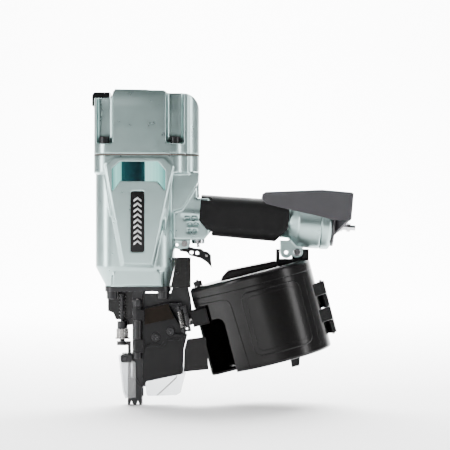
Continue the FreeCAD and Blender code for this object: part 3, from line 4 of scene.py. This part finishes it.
import bpy
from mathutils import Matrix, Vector


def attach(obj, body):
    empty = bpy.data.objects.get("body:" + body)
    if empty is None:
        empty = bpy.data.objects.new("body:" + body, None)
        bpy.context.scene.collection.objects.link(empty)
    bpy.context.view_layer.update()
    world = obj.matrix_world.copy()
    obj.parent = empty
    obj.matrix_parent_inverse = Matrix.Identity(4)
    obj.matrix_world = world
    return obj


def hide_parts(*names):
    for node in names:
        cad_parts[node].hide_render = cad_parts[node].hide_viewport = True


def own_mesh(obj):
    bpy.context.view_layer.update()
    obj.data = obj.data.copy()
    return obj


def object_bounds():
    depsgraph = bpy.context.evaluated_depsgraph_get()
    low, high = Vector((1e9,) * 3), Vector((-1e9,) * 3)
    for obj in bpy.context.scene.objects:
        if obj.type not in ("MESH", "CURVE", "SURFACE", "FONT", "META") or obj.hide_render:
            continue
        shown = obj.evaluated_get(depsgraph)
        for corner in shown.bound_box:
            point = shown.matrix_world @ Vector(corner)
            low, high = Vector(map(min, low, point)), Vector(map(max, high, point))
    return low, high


# Coil nail gun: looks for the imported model. Metres, in the model's own frame.

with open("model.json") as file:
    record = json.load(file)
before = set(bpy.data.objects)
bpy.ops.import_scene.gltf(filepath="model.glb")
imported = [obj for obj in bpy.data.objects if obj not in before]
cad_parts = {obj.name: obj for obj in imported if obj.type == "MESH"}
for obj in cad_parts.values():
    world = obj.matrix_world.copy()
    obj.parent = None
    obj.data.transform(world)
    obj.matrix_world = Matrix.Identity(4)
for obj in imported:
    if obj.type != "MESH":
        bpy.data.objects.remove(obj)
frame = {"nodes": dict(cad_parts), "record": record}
cad_low, cad_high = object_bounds()
nodes = frame["nodes"]

MM = 0.001


# ---------------------------------------------------------------- materials


class Shader:
    """A node material with a principled surface, in object coordinates."""

    def __init__(self, name, **inputs):
        self.material = bpy.data.materials.new(name)
        self.material.use_nodes = True
        self.tree = self.material.node_tree
        self.surface = self.tree.nodes["Principled BSDF"]
        self.place = self.add("ShaderNodeTexCoord").outputs["Object"]
        for key, value in inputs.items():
            self.surface.inputs[key.replace("_", " ")].default_value = value

    def add(self, kind, **settings):
        node = self.tree.nodes.new(kind)
        for key, value in settings.items():
            setattr(node, key, value)
        return node

    def link(self, source, target):
        self.tree.links.new(source, target)

    def noise(self, scale, detail=3.0, stretch=(1, 1, 1)):
        """Noise value, scale in features per metre."""
        mapping = self.add("ShaderNodeMapping")
        mapping.inputs["Scale"].default_value = stretch
        self.link(self.place, mapping.inputs["Vector"])
        noise = self.add("ShaderNodeTexNoise")
        noise.inputs["Scale"].default_value = scale
        noise.inputs["Detail"].default_value = detail
        self.link(mapping.outputs["Vector"], noise.inputs["Vector"])
        return noise.outputs["Fac"]

    def ramp(self, value, *stops):
        """Colour ramp of (position, colour) stops."""
        ramp = self.add("ShaderNodeValToRGB")
        elements = ramp.color_ramp.elements
        while len(elements) < len(stops):
            elements.new(0.5)
        for element, (position, colour) in zip(elements, stops):
            element.position = position
            element.color = (*colour, 1.0)
        self.link(value, ramp.inputs["Fac"])
        return ramp.outputs["Color"]

    def span(self, value, low, high, to_low, to_high):
        node = self.add("ShaderNodeMapRange")
        limits = {"From Min": low, "From Max": high, "To Min": to_low, "To Max": to_high}
        for key, number in limits.items():
            node.inputs[key].default_value = number
        self.link(value, node.inputs["Value"])
        return node.outputs["Result"]

    def mix(self, amount, first, second):
        node = self.add("ShaderNodeMix", data_type="RGBA")
        self.link(amount, node.inputs["Factor"])
        for socket, value in ((node.inputs["A"], first), (node.inputs["B"], second)):
            if isinstance(value, tuple):
                socket.default_value = (*value, 1.0)
            else:
                self.link(value, socket)
        return node.outputs["Result"]

    def edge_wear(self, width):
        """Mask of the sharp edges, and the rounded normal that goes with them."""
        low, high = 0.02, 0.18
        bevel = self.add("ShaderNodeBevel", samples=6)
        bevel.inputs["Radius"].default_value = width
        geometry = self.add("ShaderNodeNewGeometry")
        dot = self.add("ShaderNodeVectorMath", operation="DOT_PRODUCT")
        self.link(bevel.outputs["Normal"], dot.inputs[0])
        self.link(geometry.outputs["Normal"], dot.inputs[1])
        return self.span(dot.outputs["Value"], 1.0 - low, 1.0 - high, 0.0, 1.0), bevel.outputs["Normal"]

    def bump(self, height, strength, distance, normal=None):
        node = self.add("ShaderNodeBump")
        node.inputs["Strength"].default_value = strength
        node.inputs["Distance"].default_value = distance
        self.link(height, node.inputs["Height"])
        if normal is not None:
            self.link(normal, node.inputs["Normal"])
        self.link(node.outputs["Normal"], self.surface.inputs["Normal"])


def finish_material(name, base, worn, metallic, rough, grain, coat=0.0, bevel=0.6 * MM, wear=0.5,
                    stretch=(1, 1, 1), mottle=0.05, smear=0.10, **extra):
    """Mottled colour, varied roughness, a fine surface grain and, with a bevel, worn edges."""
    shader = Shader(name, Metallic=metallic, Coat_Weight=coat, Coat_Roughness=0.12, **extra)
    cloud = shader.noise(45.0, 4.0)
    darker = tuple(c * (1 - mottle) for c in base)
    lighter = tuple(min(1.0, c * (1 + mottle)) for c in base)
    body = shader.ramp(cloud, (0.35, darker), (0.65, lighter))
    colour, normal = body, None
    if bevel:
        edges, normal = shader.edge_wear(bevel)
        patches = shader.span(shader.noise(260.0, 5.0), 0.45, 0.62, 0.0, wear)
        amount = shader.add("ShaderNodeMath", operation="MULTIPLY")
        shader.link(edges, amount.inputs[0])
        shader.link(patches, amount.inputs[1])
        colour = shader.mix(amount.outputs["Value"], body, worn)
    shader.link(colour, shader.surface.inputs["Base Color"])
    low, high = rough * (1 - smear), rough * (1 + smear)
    polish = shader.span(shader.noise(90.0, 6.0, stretch), 0.3, 0.7, low, high)
    shader.link(polish, shader.surface.inputs["Roughness"])
    scale, strength, depth = grain
    shader.bump(shader.noise(scale, 4.0, stretch), strength, depth, normal)
    return shader.material


def teal_material():
    """Glossy trim: nearly black teal in the middle, pale mint ends, fine upright ribs."""
    shader = Shader("teal", Metallic=0.25, Roughness=0.16, Coat_Weight=1.0, Coat_Roughness=0.03)
    split = shader.add("ShaderNodeSeparateXYZ")
    shader.link(shader.place, split.inputs["Vector"])
    across = shader.span(split.outputs["X"], -29 * MM, 34 * MM, 0.0, 1.0)
    colour = shader.ramp(across, (0.0, (0.05, 0.20, 0.19)), (0.08, (0.36, 0.88, 0.80)),
                         (0.17, (0.26, 0.70, 0.64)), (0.19, (0.008, 0.060, 0.065)),
                         (0.34, (0.004, 0.030, 0.036)), (0.50, (0.002, 0.010, 0.014)),
                         (0.60, (0.008, 0.055, 0.060)), (0.62, (0.50, 0.98, 0.90)),
                         (0.85, (0.34, 0.86, 0.78)), (1.0, (0.10, 0.32, 0.30)))
    wave = shader.add("ShaderNodeTexWave", wave_type="BANDS", bands_direction="X")
    wave.inputs["Scale"].default_value = 190.0
    shader.link(shader.place, wave.inputs["Vector"])
    shade = shader.span(wave.outputs["Fac"], 0.0, 1.0, 0.0, 0.30)
    ribs = shader.mix(shade, colour, (0.004, 0.02, 0.025))
    shader.link(ribs, shader.surface.inputs["Base Color"])
    shader.bump(wave.outputs["Fac"], 0.12, 0.2 * MM)
    return shader.material


def clear_material():
    """Clear grey plastic: mostly see-through, with a sheen that grows toward grazing angles."""
    material = bpy.data.materials.new("clear")
    material.use_nodes = True
    tree = material.node_tree
    surface = tree.nodes["Principled BSDF"]
    surface.inputs["Base Color"].default_value = (0.50, 0.50, 0.50, 1.0)
    surface.inputs["Roughness"].default_value = 0.08
    place = tree.nodes.new("ShaderNodeTexCoord")
    noise = tree.nodes.new("ShaderNodeTexNoise")
    noise.inputs["Scale"].default_value = 120.0
    tree.links.new(place.outputs["Object"], noise.inputs["Vector"])
    bump = tree.nodes.new("ShaderNodeBump")
    bump.inputs["Strength"].default_value = 0.08
    bump.inputs["Distance"].default_value = 0.4 * MM
    tree.links.new(noise.outputs["Fac"], bump.inputs["Height"])
    tree.links.new(bump.outputs["Normal"], surface.inputs["Normal"])
    clear = tree.nodes.new("ShaderNodeBsdfTransparent")
    clear.inputs["Color"].default_value = (0.84, 0.85, 0.86, 1.0)
    fresnel = tree.nodes.new("ShaderNodeLayerWeight")
    fresnel.inputs["Blend"].default_value = 0.25
    amount = tree.nodes.new("ShaderNodeMapRange")
    amount.inputs["To Min"].default_value = 0.26
    amount.inputs["To Max"].default_value = 0.75
    tree.links.new(fresnel.outputs["Facing"], amount.inputs["Value"])
    mixer = tree.nodes.new("ShaderNodeMixShader")
    tree.links.new(amount.outputs["Result"], mixer.inputs["Fac"])
    tree.links.new(clear.outputs["BSDF"], mixer.inputs[1])
    tree.links.new(surface.outputs["BSDF"], mixer.inputs[2])
    output = tree.nodes["Material Output"]
    tree.links.new(mixer.outputs["Shader"], output.inputs["Surface"])
    return material


def make_materials():
    grey = (0.20, 0.195, 0.19)
    return {
        "cast": finish_material("cast", (0.315, 0.415, 0.405), None, 0.92, 0.30,
                                (900.0, 0.05, 0.10 * MM), coat=0.20, bevel=0.0,
                                mottle=0.025),
        "black_cast": finish_material("black_cast", (0.0060, 0.0060, 0.0065), (0.10, 0.10, 0.11),
                                      0.05, 0.34, (700.0, 0.14, 0.2 * MM), bevel=0.8 * MM,
                                      wear=0.5, Specular_IOR_Level=0.14),
        "black_plastic": finish_material("black_plastic", (0.0040, 0.0039, 0.0039),
                                         (0.02, 0.02, 0.02), 0.0, 0.24,
                                         (2400.0, 0.03, 0.05 * MM), bevel=1.2 * MM, wear=0.30,
                                         smear=0.04, Specular_IOR_Level=0.16),
        "rubber_grip": finish_material("rubber_grip", (0.0045, 0.0045, 0.0048),
                                       (0.012, 0.012, 0.012), 0.0, 0.62,
                                       (1500.0, 0.50, 0.35 * MM), bevel=1.2 * MM, wear=0.2,
                                       Specular_IOR_Level=0.14),
        "rubber_seal": finish_material("rubber_seal", (0.010, 0.010, 0.010), (0.03, 0.03, 0.03), 0.0, 0.6,
                                       (900.0, 0.2, 0.2 * MM), wear=0.2),
        "gasket": finish_material("gasket", (0.085, 0.070, 0.060), (0.2, 0.17, 0.15), 0.0, 0.8,
                                  (900.0, 0.3, 0.2 * MM), bevel=0.3 * MM, wear=0.2),
        "black_steel": finish_material("black_steel", (0.010, 0.010, 0.011), (0.26, 0.26, 0.27), 0.55, 0.34,
                                       (600.0, 0.16, 0.15 * MM), wear=0.7),
        "steel": finish_material("steel", grey, (0.8, 0.8, 0.8), 1.0, 0.26, (500.0, 0.10, 0.1 * MM),
                                 stretch=(1, 1, 0.15), wear=0.5),
        "chrome": finish_material("chrome", (0.66, 0.66, 0.68), (0.9, 0.9, 0.9), 1.0, 0.13,
                                  (300.0, 0.05, 0.1 * MM), bevel=0.3 * MM, wear=0.3),
        "aluminium": finish_material("aluminium", (0.62, 0.63, 0.64), (0.8, 0.8, 0.8), 1.0, 0.32,
                                     (700.0, 0.12, 0.1 * MM)),
        "teal": teal_material(),
        "label": finish_material("label", (0.003, 0.003, 0.003), (0.008, 0.008, 0.008), 0.0, 0.22,
                                 (400.0, 0.04, 0.1 * MM), bevel=0.4 * MM, wear=0.2,
                                 Specular_IOR_Level=0.2),
        "hook_grey": finish_material("hook_grey", (0.030, 0.029, 0.033), (0.12, 0.12, 0.13), 0.1, 0.42,
                                     (650.0, 0.14, 0.2 * MM), bevel=0.8 * MM, wear=0.35),
        "brown": finish_material("brown", (0.0095, 0.0065, 0.0045), (0.06, 0.05, 0.04), 0.0, 0.36,
                                 (500.0, 0.25, 0.3 * MM), stretch=(0.3, 1, 1), Specular_IOR_Level=0.06),
        "clear": clear_material(),
    }


materials = make_materials()
slot_of = {piece["node"]: piece["material_slot"] for piece in frame["record"]["subparts"]}


def paint_nodes():
    """Gives every CAD node the finish that its record names."""
    for name, obj in nodes.items():
        obj.data.materials.clear()
        obj.data.materials.append(materials[slot_of[name]])


# ------------------------------------------------------------ rounded pieces


def remodel(node, voxel, passes):
    """Detailed stand-in for a CAD node: its closed shape with cast or moulded soft edges."""
    source = nodes[node]
    piece = bpy.data.objects.new(node + "_form", source.data.copy())
    bpy.context.scene.collection.objects.link(piece)
    remesh = piece.modifiers.new("remesh", "REMESH")
    remesh.mode = "VOXEL"
    remesh.voxel_size = voxel
    remesh.use_smooth_shade = True
    soften = piece.modifiers.new("soften", "SMOOTH")
    soften.factor = 0.5
    soften.iterations = passes
    settle(piece)
    piece.data.materials.clear()
    piece.data.materials.append(materials[slot_of[node]])
    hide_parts(node)
    return piece


def settle(piece):
    """Applies the modifiers to the mesh."""
    graph = bpy.context.evaluated_depsgraph_get()
    mesh = bpy.data.meshes.new_from_object(piece.evaluated_get(graph))
    piece.modifiers.clear()
    piece.data = mesh
    for polygon in mesh.polygons:
        polygon.use_smooth = True


# Node: body, voxel size in mm, smoothing passes.
ROUNDED = {
    "housing": ("frame", 1.0, 2),
    "cap": ("frame", 1.0, 5),
    "end_cap": ("frame", 0.8, 3),
    "grip": ("frame", 0.9, 6),
    "exhaust_cover": ("frame", 0.6, 3),
    "trigger": ("trigger", 0.4, 3),
}

# The cap's draft: shares of its width lost toward the ends and over the top.
CAP_MIDDLE_X, CAP_HALF_X, CAP_TOP_Z, CAP_DRAFT_Z = 5.0, 60.0, 357.0, 26.0
CAP_END_DRAFT, CAP_TOP_DRAFT = 0.045, 0.075
# The exhaust cover's raised top, and the trigger's skin set in so that it clears the housing.
COVER_FROM_Z, COVER_RISE, COVER_CROWN = 344.0, 2.6, 0.35
TRIGGER_INSET = 0.15


def crown(piece):
    """Draws the two side walls in toward the ends and the top, as a cast part's draft does."""
    for vertex in piece.data.vertices:
        x, y, z = vertex.co
        u = (x - CAP_MIDDLE_X * MM) / (CAP_HALF_X * MM)
        v = max(0.0, (z - (CAP_TOP_Z - CAP_DRAFT_Z) * MM) / (CAP_DRAFT_Z * MM))
        vertex.co.y = y * (1.0 - CAP_END_DRAFT * u * u - CAP_TOP_DRAFT * v * v)


def thicken(piece):
    """Lifts the upper face of a flat cover, with a crowned profile from side to side."""
    half_y = max(abs(vertex.co.y) for vertex in piece.data.vertices)
    top_z = max(vertex.co.z for vertex in piece.data.vertices)
    for vertex in piece.data.vertices:
        share = (vertex.co.z - COVER_FROM_Z * MM) / (top_z - COVER_FROM_Z * MM)
        share = min(1.0, max(0.0, share))
        crowned = 1.0 - COVER_CROWN * (vertex.co.y / half_y) ** 2
        vertex.co.z += COVER_RISE * MM * crowned * share ** 2


def thin(piece, depth):
    """Moves the surface in along its normals."""
    vertices = piece.data.vertices
    normals = [vertex.normal.copy() for vertex in vertices]
    for vertex, normal in zip(vertices, normals):
        vertex.co -= normal * depth


def rounded_pieces():
    """The cast and moulded parts with soft edges, each on the body of its node."""
    made = {}
    for node, (body, voxel, passes) in ROUNDED.items():
        made[node] = remodel(node, voxel * MM, passes)
        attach(made[node], body)
    crown(made["cap"])
    thicken(made["exhaust_cover"])
    thin(made["trigger"], TRIGGER_INSET * MM)


COIL_SPRINGS = ("lever_spring", "head_valve_spring", "plunger_spring")


def coil_springs():
    """Copies of the springs, each fixed on the frame."""
    for node in COIL_SPRINGS:
        piece = bpy.data.objects.new(node + "_coil", nodes[node].data.copy())
        bpy.context.scene.collection.objects.link(piece)
        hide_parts(node)
        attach(piece, "frame")
        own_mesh(piece)


def prism(name, outline, y0, y1, slot):
    """Solid on the frame with an (x, z) outline in millimetres, from y0 to y1."""
    count = len(outline)
    verts = [(x * MM, y * MM, z * MM) for y in (y0, y1) for x, z in outline]
    faces = [tuple(range(count)), tuple(range(2 * count - 1, count - 1, -1))]
    faces += [(i, i + count, (i + 1) % count + count, (i + 1) % count) for i in range(count)]
    mesh = bpy.data.meshes.new(name)
    mesh.from_pydata(verts, [], faces)
    mesh.materials.append(materials[slot])
    piece = bpy.data.objects.new(name, mesh)
    bpy.context.scene.collection.objects.link(piece)
    bevel = piece.modifiers.new("bevel", "BEVEL")
    bevel.width = 0.12 * MM
    bevel.segments = 2
    settle(piece)
    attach(piece, "frame")


# The label's chevrons in millimetres: their column, size and the depth they stand between.
MARKS, MARK_X, MARK_FROM_Z, MARK_PITCH = 9, 0.85, 177.0, 6.2
MARK_HALF, MARK_PEAK, MARK_STROKE = 4.4, 3.6, 2.6
MARK_Y = (46.1, 46.4)


def label_marks():
    """A column of plain chevrons on the black plate of each side."""
    left, right = MARK_X - MARK_HALF, MARK_X + MARK_HALF
    for side, (y0, y1) in (("near", (-MARK_Y[1], -MARK_Y[0])), ("far", MARK_Y)):
        for i in range(MARKS):
            z = MARK_FROM_Z + MARK_PITCH * i
            outline = [(left, z), (MARK_X, z + MARK_PEAK), (right, z), (right, z + MARK_STROKE),
                       (MARK_X, z + MARK_PEAK + MARK_STROKE), (left, z + MARK_STROKE)]
            prism(f"mark_{side}_{i}", outline, y0, y1, "aluminium")


def bead(name, path, radius, slot, body, closed):
    """Thin moulded line: a round bar along a path of points in millimetres."""
    data = bpy.data.curves.new(name, "CURVE")
    data.dimensions = "3D"
    data.bevel_depth = radius * MM
    data.bevel_resolution = 3
    data.use_fill_caps = not closed
    line = data.splines.new("POLY")
    line.points.add(len(path) - 1)
    line.use_cyclic_u = closed
    for point, (x, y, z) in zip(line.points, path):
        point.co = (x * MM, y * MM, z * MM, 1.0)
    data.materials.append(materials[slot])
    tube = bpy.data.objects.new(name + "_path", data)
    bpy.context.scene.collection.objects.link(tube)
    graph = bpy.context.evaluated_depsgraph_get()
    mesh = bpy.data.meshes.new_from_object(tube.evaluated_get(graph))
    bpy.data.objects.remove(tube)
    for polygon in mesh.polygons:
        polygon.use_smooth = True
    piece = bpy.data.objects.new(name, mesh)
    bpy.context.scene.collection.objects.link(piece)
    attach(piece, body)


# The magazine in millimetres: the drum's centre, lean and radius, and the end of its flat wall.
DRUM = Vector((149.5, 0.0, 94.1))
TILT = math.radians(14.5)
DRUM_R, NOSE_X, NOSE_Y = 65.0, -79.0, 14.0


def drum_point(x, z, lift):
    """Point on the magazine's near wall, from the drum's own x and z, raised by lift."""
    reach = math.hypot(NOSE_X, NOSE_Y)
    touch = math.pi - math.atan2(NOSE_Y, -NOSE_X) - math.acos(DRUM_R / reach)
    touch_x, touch_y = DRUM_R * math.cos(touch), DRUM_R * math.sin(touch)
    if x > touch_x:
        y = -math.sqrt((DRUM_R + lift) ** 2 - x * x)
    else:
        share = (x - touch_x) / (NOSE_X - touch_x)
        slant = math.atan2(touch_x - NOSE_X, touch_y - NOSE_Y)
        y = -(touch_y + share * (NOSE_Y - touch_y)) - lift / math.cos(slant)
    c, s = math.cos(TILT), math.sin(TILT)
    return (DRUM.x + x * c - z * s, y, DRUM.z + x * s + z * c)


def rounded_path(corners, radius, closed):
    """Polyline through (x, z) corners with round turns of six steps."""
    path = []
    count = len(corners)
    for i, corner in enumerate(corners):
        here = Vector(corner)
        if not closed and i in (0, count - 1):
            path.append(tuple(here))
            continue
        before, after = Vector(corners[i - 1]), Vector(corners[(i + 1) % count])
        start = here + (before - here).normalized() * radius
        end = here + (after - here).normalized() * radius
        for k in range(7):
            a = k / 6
            path.append(tuple((1 - a) ** 2 * start + 2 * a * (1 - a) * here + a * a * end))
    return path


def spaced(path, step, closed):
    """The polyline with extra points, so that it can follow a curved wall."""
    dense = []
    pairs = list(zip(path, path[1:] + path[:1] if closed else path[1:]))
    for (x0, z0), (x1, z1) in pairs:
        count = max(1, int(math.hypot(x1 - x0, z1 - z0) / step))
        dense += [(x0 + (x1 - x0) * k / count, z0 + (z1 - z0) * k / count) for k in range(count)]
    if not closed:
        dense.append(path[-1])
    return dense


def rectangle(x0, x1, z0, z1):
    """Corners of an upright rectangle, in order round it."""
    return [(x0, z0), (x1, z0), (x1, z1), (x0, z1)]


# Name: corners in the drum's own x and z, turn radius, closed, lift off the wall, bead radius.
MAGAZINE_LINES = {
    "panel": (rectangle(-23.2, 44.2, -39.6, 33.2), 9.0, True, 1.05, 0.55),
    "inner": (rectangle(-18.0, 38.5, -34.6, 28.4), 7.0, True, 1.1, 0.40),
    "sweep": ([(-72.0, 33.0), (-37.0, 31.5), (-33.5, -49.0)], 9.0, False, -0.1, 0.60),
    "edge": ([(51.5, -46.0), (51.5, 36.0)], 5.0, False, -0.1, 0.5),
}
LINE_STEP = 2.0


def magazine_lines():
    """Moulded outlines on the magazine's near wall."""
    for name, (corners, turn, closed, lift, radius) in MAGAZINE_LINES.items():
        path = spaced(rounded_path(corners, turn, closed), LINE_STEP, closed)
        points = [drum_point(x, z, lift) for x, z in path]
        bead("line_" + name, points, radius, "black_plastic", "magazine_cover", closed)


# -------------------------------------------------------------------- stage


FLOOR_FRONT, FLOOR_BACK, FLOOR_HALF_X = -3.6, 2.8, 4.5
WALL_TURN, WALL_TOP = 0.9, 3.2
FLOOR_GAP = 0.5 * MM


def sweep_backdrop():
    """Pale floor that curves up behind the tool, far enough back for a view from behind."""
    profile = [(FLOOR_FRONT, 0.0), (FLOOR_BACK, 0.0)]
    for degrees in range(10, 91, 10):
        angle = math.radians(degrees)
        profile.append((FLOOR_BACK + WALL_TURN * math.sin(angle), WALL_TURN * (1 - math.cos(angle))))
    profile.append((FLOOR_BACK + WALL_TURN, WALL_TOP))
    floor_z = cad_low.z - FLOOR_GAP
    verts = [(x, y, z + floor_z) for y, z in profile for x in (-FLOOR_HALF_X, FLOOR_HALF_X)]
    faces = [(2 * i, 2 * i + 1, 2 * i + 3, 2 * i + 2) for i in range(len(profile) - 1)]
    mesh = bpy.data.meshes.new("floor")
    mesh.from_pydata(verts, [], faces)
    for polygon in mesh.polygons:
        polygon.use_smooth = True
    floor = bpy.data.objects.new("floor", mesh)
    bpy.context.scene.collection.objects.link(floor)
    paper = Shader("paper", Base_Color=(0.93, 0.93, 0.93, 1.0), Roughness=0.9)
    mesh.materials.append(paper.material)


def area_light(name, place, target, size, power):
    """White rectangle light that faces its target and doesn't show itself."""
    data = bpy.data.lights.new(name, "AREA")
    data.shape = "RECTANGLE"
    data.size, data.size_y = size
    data.energy = power
    light = bpy.data.objects.new(name, data)
    light.location = place
    aim = Vector(target) - Vector(place)
    light.rotation_euler = aim.to_track_quat("-Z", "Y").to_euler()
    light.visible_camera = False
    bpy.context.scene.collection.objects.link(light)


def surround():
    """Even studio air: pale at the sides and above, darker toward the viewer's side."""
    world = bpy.data.worlds.new("studio")
    world.use_nodes = True
    tree = world.node_tree
    background = tree.nodes["Background"]
    place = tree.nodes.new("ShaderNodeTexCoord")
    split = tree.nodes.new("ShaderNodeSeparateXYZ")
    tree.links.new(place.outputs["Generated"], split.inputs["Vector"])
    depth = tree.nodes.new("ShaderNodeMapRange")
    for key, number in {"From Min": -1.0, "From Max": 0.1, "To Min": 0.02, "To Max": 0.40}.items():
        depth.inputs[key].default_value = number
    tree.links.new(split.outputs["Y"], depth.inputs["Value"])
    tree.links.new(depth.outputs["Result"], background.inputs["Strength"])
    background.inputs["Color"].default_value = (0.96, 0.98, 1.0, 1.0)
    bpy.context.scene.world = world


def studio():
    """Tall lights at both sides, one above, two weak front ones, and one each on wall and floor."""
    middle = (0.08, 0.0, 0.18)
    area_light("left", (-1.30, -0.75, 0.45), middle, (0.40, 1.5), 34)
    area_light("right", (1.50, -0.70, 0.50), middle, (0.30, 1.5), 20)
    area_light("front", (-0.35, -2.2, 0.95), middle, (0.5, 0.5), 2)
    area_light("low", (-0.25, -1.25, 0.0), (0.0, 0.0, 0.16), (0.7, 0.25), 3.6)
    area_light("top", (0.1, 0.0, 1.7), middle, (1.2, 0.8), 12)
    wall = FLOOR_BACK + WALL_TURN
    area_light("back", (0.1, 2.9, 2.2), (0.1, wall, 0.7), (2.8, 1.0), 420)
    area_light("floor", (0.1, 1.7, 1.9), (0.1, 1.6, 0.0), (2.8, 2.0), 460)
    surround()


def camera():
    """Level view from the nail-door side."""
    data = bpy.data.cameras.new("camera")
    data.sensor_width = 36.0
    data.lens = 150.2
    data.clip_end = 20.0
    view = bpy.data.objects.new("camera", data)
    view.location = (0.1012, -2.2, 0.2001)
    view.rotation_euler = (math.radians(90), 0, 0)
    bpy.context.scene.collection.objects.link(view)
    bpy.context.scene.camera = view


paint_nodes()
rounded_pieces()
coil_springs()
label_marks()
magazine_lines()
sweep_backdrop()
studio()
camera()
